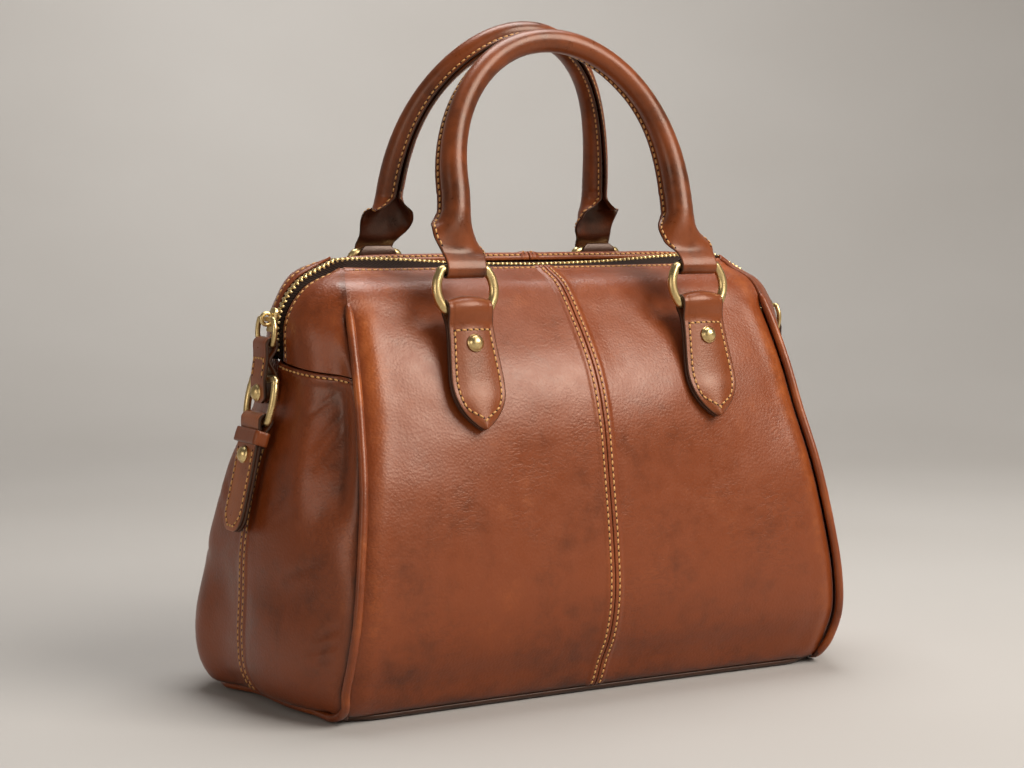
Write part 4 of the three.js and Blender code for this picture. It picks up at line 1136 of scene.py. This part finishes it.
def wire_points(half_width, half_height, bow):
    """Points of a wire loop with straight bars and bowed sides, in the XZ plane."""
    bar = half_width - bow
    radius = (half_height ** 2 + bow ** 2) / (2 * bow)
    spread = math.asin(min(half_height / radius, 1))
    points = []
    for way in (1, -1):
        points += [Vector((way * bar * share, 0, way * half_height)) for share in (-1, -0.4, 0.4, 1)]
        for share in (0.75, 0.38, 0, -0.38, -0.75):
            turn = spread * share
            x = half_width - radius + radius * math.cos(turn)
            points.append(Vector((way * x, 0, way * radius * math.sin(turn))))
    return points


def wire(points, wire_radius, centre, axis_x, axis_z, steps=96, sides=14):
    """A closed wire through local points, laid along two axes about a centre."""
    normal = axis_x.cross(axis_z)
    laid = [centre + axis_x * point.x + axis_z * point.z for point in points]
    route = lambda share: line_through(laid, share, closed=True)
    return tube(route, lambda share: wire_radius, lambda point: normal, steps, sides)


def mirrored(bm, end):
    """Moves a piece built at the right end to its own end."""
    if end < 0:
        bmesh.ops.scale(bm, verts=bm.verts, vec=(-1, 1, 1))
        bmesh.ops.reverse_faces(bm, faces=bm.faces)
    return bm


slider_up = up_at_height(END_LINE, SLIDER_HEIGHT)
slider_seat = line_through(END_LINE, slider_up)
slider_step = line_through(END_LINE, slider_up + 1e-3) - line_through(END_LINE, slider_up - 1e-3)
slider_along = slider_step.normalized()
slider_out = Vector((slider_along.z, 0, -slider_along.x))
link_top = slider_seat + slider_out * (SLIDER["lift"] + LUG_RISE)
hang = (BUCKLE_TOP - link_top).normalized()
link_bottom = link_top + hang * (2 * LINK["half_height"])
ACROSS_Y = Vector((0, 1, 0))

for end_name, end in ENDS.items():
    bm = bmesh.new()
    half_length = SLIDER["length"] / 2
    outline = []
    for along, wide in SLIDER_PLATE:
        outline.append((along * half_length, wide * SLIDER["width"]))
    outline += [(along, -wide) for along, wide in reversed(outline)]
    plate = bm.faces.new([bm.verts.new((along * MM, wide * MM, 0)) for along, wide in outline])
    raised = bmesh.ops.extrude_face_region(bm, geom=[plate])["geom"]
    raised_verts = [item for item in raised if isinstance(item, bmesh.types.BMVert)]
    bmesh.ops.translate(bm, verts=raised_verts, vec=(0, 0, SLIDER["thickness"] * MM))
    soften(bm, 0.6, 3)
    turned = Matrix((-slider_along, ACROSS_Y, slider_out)).transposed().to_4x4()
    turned.translation = (slider_seat + slider_out * SLIDER["lift"]) * MM
    bmesh.ops.transform(bm, matrix=turned, verts=bm.verts)
    turns = [k * math.pi / 6 for k in range(12)]
    circle = [Vector((math.cos(turn), 0, math.sin(turn))) * LUG_RADIUS for turn in turns]
    lug = wire(circle, LUG_WIRE, link_top, -slider_along, slider_out, steps=40, sides=12)
    lug_mesh = bpy.data.meshes.new("lug")
    lug.to_mesh(lug_mesh)
    lug.free()
    bm.from_mesh(lug_mesh)
    bpy.data.meshes.remove(lug_mesh)
    bmesh.ops.recalc_face_normals(bm, faces=bm.faces)
    fit_piece(f"zip_slider_{end_name}", mirrored(bm, end), brass, "brass")

    bm = wire(wire_points(**LINK), LINK_WIRE, link_top.lerp(link_bottom, 0.5), ACROSS_Y, -hang)
    fit_piece(f"pull_link_{end_name}", mirrored(bm, end), brass, "brass")

# Buckles and hanging straps
# A brass buckle hangs below each link. The upper strap is folded round the link and the buckle's top
# bar and closed by a stud; the lower strap is folded round the bottom bar, held by a keeper and a rivet.
BUCKLE = dict(half_width=16.6, bow=2.4)
BUCKLE_WIRE = 2
BUCKLE_BOTTOM = Vector((169.5, 0, 152))
STRAP_WALL = 1.8
UPPER_HALF = 9.1
UPPER_TAIL = 13
LOWER_ROUTE = [(138, 7.4), (124, 6.4), (110, 6.4), (96, 7), (93, 7)]
LOWER_HALVES = table(
    "from_tip half",
    (0, 5),
    (1.2, 7.9),
    (3.6, 10.5),
    (8, 12.2),
    (20, 12.4),
)
LOWER_SPREAD = table(
    "along off",
    (0, 3.5),
    (3, 2.7),
    (7, 1.2),
    (12, 0.92),
    (40, 0.92),
)
KEEPER = dict(along=9.2, height=8, wall=1.8, deep=2.4, wide=12.8)
STUD_DROP = 7.6
RIVET_ALONG = 19
# Profile of a domed stud, as distance from its axis and rise
DOME = [
    (0, 3.4), (1.3, 3.25), (2.6, 2.75), (3.6, 1.95), (4.2, 1.0),
    (4.4, 0.55), (4.7, 0.45), (4.75, 0.1), (4.6, -0.6),
]
DOME_STEPS = 32
# Section of a keeper from its lower edge round its outside, as shares of its height and wall
KEEPER_SECTION = [
    (-0.5, -0.2), (-0.5, 0.2), (-0.44, 0.5), (-0.25, 0.54), (0, 0.58), (0.25, 0.54),
    (0.44, 0.5), (0.5, 0.2), (0.5, -0.2), (0.44, -0.5), (0, -0.5), (-0.44, -0.5),
]
STRAP_ROW = 2.7
STRAP_CROWN = 0.2
UPPER_STITCHED = (17, 7.5)
LOWER_STITCH_START = 16
LOWER_STITCH_TIP = 9
UPPER_TONE = 0.62
LOWER_TONE = 0.78

# Bridle leather of the straps, tabs and handles: smoother, darker and less glossy than the body's
trim_leather = make_leather(
    "dark_cognac_strap_leather", "34170a", "7a3b19", "a65a28", mottle_mm=30, grain_mm=1.1,
    wrinkle=0.2, roughness=0.33, grain=0.16, coat=0.17,
)


def crown_rise(share, crown):
    """Rise of a domed strip over its rim, by share of its half width."""
    return crown * max(1 - (share / 0.85) ** 2, 0)


def strip_section(half, wall, crown):
    """Rounded outline of a leather strip as (across, rise, paint), with a channel for its stitches."""
    rim = wall / 2
    ease = min(half / 6, 1)
    side = [
        (0, 0.5 * rim, 1), (0.3, 0.88 * rim, 0.9), (0.8, rim, 0.15),
        (2.0, rim + 0.06, 0), (2.7, rim - 0.1, 0), (3.4, rim + 0.04, 0),
    ]
    left = [(-half + inset * ease, rise, paint) for inset, rise, paint in side]
    inner = 1 - 4.2 * ease / max(half, 1)
    middle = [(half * inner * k / 5, rim, 0) for k in range(-5, 6)]
    top = left + middle + [(-across, rise, paint) for across, rise, paint in reversed(left)]
    top = [(across, rise + crown_rise(across / half, crown), paint) for across, rise, paint in top]
    under = [(half, -0.5 * rim, 1), (half - 0.4 * ease, -rim, 0.7), (half * 0.5, -rim, 0), (0, -rim, 0)]
    under += [(-half * 0.5, -rim, 0), (-half + 0.4 * ease, -rim, 0.7), (-half, -0.5 * rim, 1)]
    return top + under


def folded_strip(line, length, offset_at, half_at, wall, width_axis, steps,
                 crown=STRAP_CROWN, back_at=None, tone=0.5):
    """A strip folded round a bar at the start of line(distance), which gives a point and its outward."""
    back_at = back_at or offset_at
    start, out_start = line(0)
    down = (line(0.5)[0] - start).normalized()
    loop = math.pi * offset_at(0)
    total = 2 * length + loop
    count = len(strip_section(8, wall, crown))

    def spot(u, v):
        row = round(u * (steps + 2))
        travel = total * min(max(row - 1, 0), steps) / steps
        if length < travel < length + loop:
            turn = (travel - length) / offset_at(0) - math.pi / 2
            out = out_start * math.sin(turn) - down * math.cos(turn)
            centre, half = start + out * offset_at(0), half_at(0)
        else:
            distance = length - travel if travel <= length else travel - length - loop
            point, outward = line(distance)
            out, offset = (outward, offset_at) if travel > length else (-outward, back_at)
            centre, half = point + out * offset(distance), half_at(distance)
        if row in (0, steps + 2):
            return centre, tone, 1
        across, rise, paint = strip_section(half, wall, crown)[round(v * count) % count]
        return centre + width_axis * across + out * rise, tone - 0.1 * paint, paint
    return closed_skin(spot, steps + 2, count)


def dome(seat, direction):
    """A domed stud with a thin collar, spun about its own axis."""
    bm = spun([(away * MM, rise * MM) for away, rise in DOME], DOME_STEPS)
    place = direction.to_track_quat("Z", "Y").to_matrix().to_4x4()
    place.translation = (seat + direction * 0.5) * MM
    bmesh.ops.transform(bm, matrix=place, verts=bm.verts)
    return bm


face_out_upper = Vector((-hang.z, 0, hang.x))
bar_distance = (BUCKLE_TOP - link_bottom).length
upper_length = bar_distance + UPPER_TAIL
UPPER_FRONT = table(
    "along off",
    (0, 2.9),
    (8, 2.5),
    (bar_distance - 5, 3.0),
    (bar_distance, 3.5),
    (bar_distance + 5, 3.2),
    (upper_length, 2.5),
)
UPPER_BACK = table(
    "along off",
    (0, 2.9),
    (3, 2.2),
    (7, -0.4),
    (9.5, -0.6),
    (bar_distance - 4, 2.3),
    (bar_distance, 3.5),
    (bar_distance + 4, 2.6),
    (upper_length, 0.2),
)


def upper_line(distance):
    """Point and outward of the upper strap's middle by distance from the link."""
    return link_bottom + hang * distance, face_out_upper


def upper_half(distance):
    """Half width of the upper strap, which is rounded off at its end."""
    return UPPER_HALF * (1 - 0.5 * eased(upper_length - 4, upper_length, distance) ** 2)


def gusset_middle(height, off):
    """Point a distance off the end seam at a height."""
    up = up_at_height(END_LINE, height)
    surface = lambda u, v: end_base(u, v, 1, 1, 0)
    outward = outward_at(surface, 1, up)
    return surface(1, up) + Vector((outward.x, 0, outward.z)).normalized() * off


lower_points = [BUCKLE_BOTTOM] + [gusset_middle(height, off) for height, off in LOWER_ROUTE]
lower_route = along_points([line_through(lower_points, k / 200) for k in range(201)])
lower_length = measured([lower_route(k / 100) for k in range(101)])[-1]


def lower_line(distance):
    """Point and outward of the lower strap's middle by distance from the buckle."""
    share = distance / lower_length
    along = (lower_route(share + 0.01) - lower_route(share - 0.01)).normalized()
    return lower_route(share), Vector((-along.z, 0, along.x))


def lower_half(distance):
    """Half width of the lower strap by distance from the buckle."""
    return from_table(LOWER_HALVES, "from_tip", "half", lower_length - distance)


lower_spread = functools.partial(from_table, LOWER_SPREAD, "along", "off")
upper_front = functools.partial(from_table, UPPER_FRONT, "along", "off")
upper_back = functools.partial(from_table, UPPER_BACK, "along", "off")

for end_name, end in ENDS.items():
    span = BUCKLE_TOP - BUCKLE_BOTTOM
    bm = wire(wire_points(half_height=span.length / 2, **BUCKLE), BUCKLE_WIRE,
              BUCKLE_TOP.lerp(BUCKLE_BOTTOM, 0.5), ACROSS_Y, span.normalized(), steps=120, sides=16)
    fit_piece(f"buckle_{end_name}", mirrored(bm, end), brass, "brass")

    bm = folded_strip(
        upper_line, upper_length, upper_front, upper_half, STRAP_WALL, ACROSS_Y, 110,
        back_at=upper_back, tone=UPPER_TONE,
    )
    fit_piece(f"strap_upper_{end_name}", mirrored(bm, end), trim_leather, "trim_leather")

    bm = folded_strip(
        lower_line, lower_length, lower_spread, lower_half, STRAP_WALL, ACROSS_Y, 190, tone=LOWER_TONE,
    )
    fit_piece(f"strap_lower_{end_name}", mirrored(bm, end), trim_leather, "trim_leather")

    flip_end = Matrix.Diagonal((end, 1, 1))
    inset = UPPER_HALF - STRAP_ROW
    low, high = UPPER_STITCHED
    upper_corners = [(-inset, low, 0), (-inset, high, 0), (inset, high, 0), (inset, low, 0)]
    upper_row = along_points([Vector(corner) for corner in upper_corners])

    def upper_stitch(share):
        across, distance, _ = upper_row(share)
        point, out = upper_line(distance)
        rise = upper_front(distance) + STRAP_WALL / 2 + crown_rise(across / UPPER_HALF, STRAP_CROWN)
        return flip_end @ (point + out * rise + ACROSS_Y * across), flip_end @ out

    def lower_stitch(share):
        along = abs(2 * share - 1) * (lower_length - LOWER_STITCH_START)
        distance = min(lower_length - along, lower_length - STRAP_ROW)
        tip = min(along / LOWER_STITCH_TIP, 1)
        across = math.copysign((lower_half(distance) - STRAP_ROW) * tip ** 0.5, share - 0.5)
        point, out = lower_line(distance)
        crown = crown_rise(across / lower_half(distance), STRAP_CROWN)
        rise = lower_spread(distance) + STRAP_WALL / 2 + crown
        return flip_end @ (point + out * rise + ACROSS_Y * across), flip_end @ out
    sew(f"strap_{end_name}_stitches", "bag", [upper_stitch, lower_stitch])

    stud_seat = BUCKLE_TOP + hang * STUD_DROP + face_out_upper * 3.5
    fit_piece(f"strap_stud_{end_name}", mirrored(dome(stud_seat, face_out_upper), end), brass, "brass")
    rivet_point, rivet_out = lower_line(RIVET_ALONG)
    rivet = dome(rivet_point + rivet_out * STRAP_WALL, rivet_out)
    fit_piece(f"strap_rivet_{end_name}", mirrored(rivet, end), brass, "brass")

    keeper_point, keeper_out = lower_line(KEEPER["along"])
    keeper_up = ACROSS_Y.cross(keeper_out)
    deep = KEEPER["deep"] + KEEPER["wall"] / 2
    wide = KEEPER["wide"] + KEEPER["wall"] / 2
    corners = [(deep, -wide), (deep, wide), (-deep, wide), (-deep, -wide)]
    band = []
    for k, (x, y) in enumerate(corners):
        next_x, next_y = corners[(k + 1) % 4]
        steps = 5 if abs(next_x - x) > abs(next_y - y) else 14
        for step in range(steps):
            share = mixed(0.12 if steps == 5 else 0.04, 0.88 if steps == 5 else 0.96, step / (steps - 1))
            band.append(Vector((mixed(x, next_x, share), mixed(y, next_y, share), 0)))

    def keeper_vertex(u, v):
        local = line_through(band, u, closed=True)
        ahead = line_through(band, u + 0.004, closed=True) - line_through(band, u - 0.004, closed=True)
        out = Vector((ahead.y, -ahead.x, 0)).normalized()
        up_share, rise = KEEPER_SECTION[round(v * len(KEEPER_SECTION)) % len(KEEPER_SECTION)]
        shape = local + out * (rise * KEEPER["wall"])
        paint = 1 if abs(up_share) >= 0.5 else 0
        point = keeper_point + keeper_out * shape.x + ACROSS_Y * shape.y
        return point + keeper_up * (up_share * KEEPER["height"]), 0.5, paint
    bm = closed_skin(keeper_vertex, 120, len(KEEPER_SECTION))
    fit_piece(f"keeper_{end_name}", mirrored(bm, end), trim_leather, "trim_leather")

# Ring tabs
# A pointed strap of doubled leather on each panel, folded round the lower bar of a ring and sewn and
# riveted to the panel. Its face is a little domed and its cut edges are painted dark.
RING_X = 73.9
RING_BAR_DEPTH = 56.5
RING_BAR_HEIGHT = 214.2
RING = dict(half_width=17, half_height=10.3, bow=4)
RING_WIRE = 2.6
RING_LEAN = math.radians(9.2)
TAB_WALL = 2.1
TAB_LIFT = 3.55
TAB_HEIGHTS = (172, 164, 156, 148.5)
TAB_RIVET_DROP = 19.2
TAB_HALVES = table(
    "from_tip half",
    (0, 1.0),
    (1, 2.8),
    (3, 5.4),
    (6, 8.5),
    (10, 11.6),
    (15, 14.1),
    (20, 15.3),
    (27, 15.6),
    (38, 14.7),
    (50, 13.6),
    (66, 13.1),
)
TAB_CROWN = 1.9
TAB_ROW = 3.1
TAB_STITCH_TOP = 12
TAB_STITCH_TIP = 4.6
TAB_STITCH_SINK = 0.05
TAB_RIVET_LIFT = 3.9
TAB_SPREAD = table(
    "along off",
    (0, 3.95),
    (3, 3.3),
    (8, 1.4),
    (13, 1.1),
    (70, 1.1),
)
ACROSS_X = Vector((1, 0, 0))


tab_half = functools.partial(from_table, TAB_HALVES, "from_tip", "half")
tab_spread = functools.partial(from_table, TAB_SPREAD, "along", "off")

for face_name, face in FACES.items():
    for end_name, end in ENDS.items():
        bar_depth = -RING_BAR_DEPTH * face
        bar = Vector((RING_X * end, bar_depth, RING_BAR_HEIGHT + slouch(bar_depth, RING_BAR_HEIGHT)))
        surface = lambda u, v: panel_base(u, v, end, face)
        seats = [bar]
        for height in TAB_HEIGHTS:
            up = up_at_height(EDGE_LINE, height)
            across = RING_X / body_lines(up)[1].x
            outward = outward_at(surface, across, up)
            seat = surface(across, up) + Vector((0, outward.y, outward.z)).normalized() * TAB_LIFT
            seats.append(Vector((RING_X * end, seat.y, seat.z)))
        tab_route = along_points([line_through(seats, k / 160) for k in range(161)])
        tab_length = measured([tab_route(k / 100) for k in range(101)])[-1]

        def tab_line(distance):
            share = distance / tab_length
            along = (tab_route(share + 0.01) - tab_route(share - 0.01)).normalized()
            return tab_route(share), Vector((0, along.z, -along.y)) * face

        bm = folded_strip(
            tab_line, tab_length, tab_spread, lambda distance: tab_half(tab_length - distance),
            TAB_WALL, ACROSS_X, 190, crown=TAB_CROWN,
        )
        fit_piece(f"tab_{face_name}_{end_name}", bm, trim_leather, "trim_leather")

        def tab_place(across, distance):
            point, out = tab_line(distance)
            crown = crown_rise(across / tab_half(tab_length - distance), TAB_CROWN)
            rise = tab_spread(distance) + TAB_WALL / 2 + crown
            return point + out * (rise - TAB_STITCH_SINK) + ACROSS_X * across, out

        def side_stitch(share):
            distance = mixed(TAB_STITCH_TOP, tab_length - TAB_STITCH_TIP, 1 - abs(2 * share - 1))
            across = max(tab_half(tab_length - distance) - TAB_ROW, 0)
            tip = eased(0, 7, tab_length - TAB_STITCH_TIP - distance)
            return tab_place(math.copysign(across * tip ** 0.5, share - 0.5), distance)

        def top_stitch(share):
            across = tab_half(tab_length - TAB_STITCH_TOP) - TAB_ROW
            return tab_place(mixed(-1, 1, share) * across, TAB_STITCH_TOP)
        sew(f"tab_{face_name}_{end_name}_stitches", "bag", [side_stitch, top_stitch])

        point, out = tab_line(TAB_RIVET_DROP)
        rivet = dome(point + out * TAB_RIVET_LIFT, out)
        fit_piece(f"tab_rivet_{face_name}_{end_name}", rivet, brass, "brass")

# Rings and handles
# Brass rings join the tabs to the handles. Each handle is a strap of leather rolled into a tube with its
# edges sewn together as a fin on the inside; at its ends it opens flat and is folded round the ring.
HANDLE_WALL = 1.6
HANDLE_ROLL = 5.5
HANDLE_CURVES = {
    "front": dict(leg=45, arch=84.5, half=72, bow=2.5, sway=3.6, lean=16, flare=2.4, fin_turn=-0.7),
    "back": dict(leg=22, arch=110, half=70, bow=-8, sway=0, lean=20, flare=0, fin_turn=0),
}
FLARE_RISE = 13
FLARE_SPAN = 5
SWAY_SPAN = (2, 50)
HANDLE_LOOP = 3.75
HANDLE_RETURN = 5
RETURN_DEEP = 2
RETURN_HALF = 8
LOOP_HALF = 11.6
HANDLE_HALF = 19.6
RETURN_STEPS = 12
LOOP_STEPS = 18
LEG_STEPS = 50
ARCH_STEPS = 70
HANDLE_ENDS = table(
    "rise half close deep",
    (0, 11.6, 0, -3.75),
    (3, 11.7, 0, -3.6),
    (6, 11.7, 0.01, -2.7),
    (8.5, 11.9, 0.04, -1.9),
    (11, 12.6, 0.11, -1.9),
    (15, 14.4, 0.26, -2.7),
    (20, 16.8, 0.48, -3.9),
    (24, 18.2, 0.7, -4.6),
    (28, 19.1, 0.88, -5.1),
    (33, 19.6, 1, -5.5),
    (60, 19.6, 1, -5.5),
)
HANDLE_ARCH_START = 38
HANDLE_LEG_SWELL = 0.22
SECTION_STEPS = 44
# The strip is rolled over this length from its middle, then bends back into the fin
ROLL_LENGTH = 15.2
FIN_START = 17
FIN_BEND = 1.19
FIN_ROW = 2.0
FIN_FOOT = 10


@functools.lru_cache(maxsize=None)
def rolled(half, close):
    """Half of a strip's section from its middle to its edge: across, depth and the turn of its normal."""
    across, depth, spots = 0.0, 0.0, []
    step = half / SECTION_STEPS
    for k in range(SECTION_STEPS + 1):
        place = k * step
        turn = min(place, ROLL_LENGTH) / HANDLE_ROLL - FIN_BEND * eased(ROLL_LENGTH, FIN_START, place)
        spots.append((across, depth, turn * close))
        across += math.cos(turn * close) * step
        depth += math.sin(turn * close) * step
    return spots


def leg_swell(rise):
    """Share by which the legs of a handle are thicker than its arch."""
    return HANDLE_LEG_SWELL * eased(8, 24, rise) * (1 - eased(34, 105, rise))


def handle_rows(curve):
    """Rows of one half of a handle from the end of its fold to the top of its arch."""
    leg, arch, half = curve["leg"], curve["arch"], curve["half"]

    def leg_x(rise):
        if rise < leg:
            return mixed(RING_X, half, max(rise, 0) / leg)
        return half * (1 - ((rise - leg) / arch) ** 2) ** 0.5
    spots = []
    for k in range(RETURN_STEPS):
        rise = HANDLE_RETURN * (1 - k / RETURN_STEPS)
        deep = mixed(HANDLE_LOOP, RETURN_DEEP, (rise / HANDLE_RETURN) ** 2)
        spots.append((RING_X, deep, rise, mixed(LOOP_HALF, RETURN_HALF, (rise / HANDLE_RETURN) ** 3), 0))
    for k in range(LOOP_STEPS):
        turn = math.pi * k / LOOP_STEPS
        spots.append((RING_X, HANDLE_LOOP * math.cos(turn), -HANDLE_LOOP * math.sin(turn), LOOP_HALF, 0))
    for k in range(LEG_STEPS):
        rise = max(leg, HANDLE_ARCH_START) * k / LEG_STEPS
        values = [from_table(HANDLE_ENDS, "rise", column, rise) for column in ("deep", "half", "close")]
        half_width = values[1] + curve["flare"] * hump(rise, FLARE_RISE, FLARE_SPAN)
        spots.append((leg_x(rise), values[0], rise, half_width, values[2]))
    first = math.asin(max((HANDLE_ARCH_START - leg) / arch, 0))
    for k in range(ARCH_STEPS + 1):
        turn = mixed(first, math.pi / 2, k / ARCH_STEPS)
        spots.append((half * math.cos(turn), -HANDLE_ROLL, leg + arch * math.sin(turn), HANDLE_HALF, 1))
    return spots


for face_name, face in FACES.items():
    bar_depth = -RING_BAR_DEPTH * face
    bar_height = RING_BAR_HEIGHT + slouch(bar_depth, RING_BAR_HEIGHT)
    ring_up = Vector((0, math.sin(RING_LEAN) * face, math.cos(RING_LEAN)))
    body = f"{face_name}_handle"
    for end_name, end in ENDS.items():
        centre = Vector((RING_X * end, bar_depth, bar_height)) + ring_up * RING["half_height"]
        bm = wire(wire_points(**RING), RING_WIRE, centre, ACROSS_X, ring_up, steps=120, sides=18)
        fit_piece(f"ring_{face_name}_{end_name}", bm, brass, "brass", body)

    curve = HANDLE_CURVES[face_name]
    lean = math.radians(curve["lean"])
    upper_bar = Vector((0, -RING_BAR_DEPTH + 2 * RING["half_height"] * math.sin(RING_LEAN),
                        2 * RING["half_height"] * math.cos(RING_LEAN)))
    right_half = handle_rows(curve)
    left_half = [(-x, deep, rise, half, close) for x, deep, rise, half, close in right_half[-2::-1]]
    spots = right_half + left_half
    arched = [close == 1 for _, _, _, _, close in spots]

    def leaned(local):
        """Depth and height of a point or direction of the handle after its lean."""
        y = local.y * math.cos(lean) + local.z * math.sin(lean)
        return y, local.z * math.cos(lean) - local.y * math.sin(lean)

    def stand(local):
        """Leans a point of the handle, and turns it half round for the back."""
        y, z = leaned(local)
        return Vector((local.x * face, (y + upper_bar.y) * face, z + upper_bar.z + bar_height))

    def turned_way(local):
        """Leans a direction of the handle."""
        y, z = leaned(local)
        return Vector((local.x * face, y * face, z))

    places = []
    for x, deep, rise, half, close in spots:
        bowed = curve["bow"] * math.sin(math.pi * max(rise, 0) / (curve["leg"] + curve["arch"]))
        inset = math.copysign(leg_swell(rise) * HANDLE_ROLL, x)
        swayed = curve["sway"] * eased(*SWAY_SPAN, rise)
        places.append(Vector((x - inset + swayed, deep + bowed, rise)))
    frames = []
    for k, place in enumerate(places):
        along = (places[min(k + 1, len(places) - 1)] - places[max(k - 1, 0)]).normalized()
        flat = Vector((0, along.z, -along.y)) * (1 if k <= len(places) // 2 else -1)
        hint = ACROSS_Y if arched[k] else flat
        hint = hint + ACROSS_X * (curve["fin_turn"] * spots[k][4])
        inward = (hint - along * hint.dot(along)).normalized()
        frames.append((along.cross(inward), inward))

    def strip_place(row, share, side):
        """Point and outer normal of the strip: share from -1 to 1 across it, side 1 for its outer face."""
        _, _, _, half, close = spots[row]
        across, depth, turn = rolled(half, close)[round(abs(share) * SECTION_STEPS)]
        axis, inward = frames[row]
        way = 1 if share >= 0 else -1
        normal = (axis * (math.sin(turn) * way) - inward * math.cos(turn)).normalized()
        thick = 1 + leg_swell(spots[row][2])
        point = places[row] + axis * (across * way * thick) + inward * (depth * thick)
        round_off = max(1 - (1 - min(half * (1 - abs(share)) / 0.9, 1)) ** 2, 0.08) ** 0.5
        return point + normal * (side * round_off * HANDLE_WALL / 2), normal

    ring_of_shares = [(k / SECTION_STEPS * 2 - 1, 1) for k in range(SECTION_STEPS + 1)]
    ring_of_shares += [(1 - k / SECTION_STEPS * 2, -1) for k in range(SECTION_STEPS + 1)]
    count = len(ring_of_shares)

    def handle_vertex(u, v):
        index = round(u * (len(places) + 1))
        row = min(max(index - 1, 0), len(places) - 1)
        if index in (0, len(places) + 1):
            return stand(places[row]), 0.4, 1
        share, side = ring_of_shares[round(v * count) % count]
        point, _ = strip_place(row, share, side)
        edge = eased(0.96, 1, abs(share))
        # Tone: darkened as painted shade on the inner face, at the pinch crease above the loop, and on the
        # return flap and the half of the loop toward the bag
        tone = 0.36 + 0.12 * noise.noise(point / 26) - (0.2 if side < 0 else 0)
        tone -= 0.1 * hump(spots[row][2], 9, 2.5) if spots[row][1] < 0 else 0.35
        return stand(point), tone, edge
    bm = closed_skin(handle_vertex, len(places) + 1, count)
    fit_piece(f"handle_{face_name}", bm, trim_leather, "trim_leather", body)

    rows = []
    loop_rows = RETURN_STEPS + LOOP_STEPS
    first = next(k for k, spot in enumerate(spots) if spot[2] > FIN_FOOT and k > loop_rows)
    for way in (-1, 1):
        def fin_stitch(share, way=way):
            place = mixed(first, len(places) - 1 - first, share)
            low = min(int(place), len(places) - 2)
            marks = []
            for row in (low, low + 1):
                marks.append(strip_place(row, way * (1 - FIN_ROW / spots[row][3]), 1))
            point = marks[0][0].lerp(marks[1][0], place - low)
            normal = marks[0][1].lerp(marks[1][1], place - low)
            return stand(point), turned_way(normal)
        rows.append(fin_stitch)
    sew(f"handle_{face_name}_stitches", body, rows, steps=400)
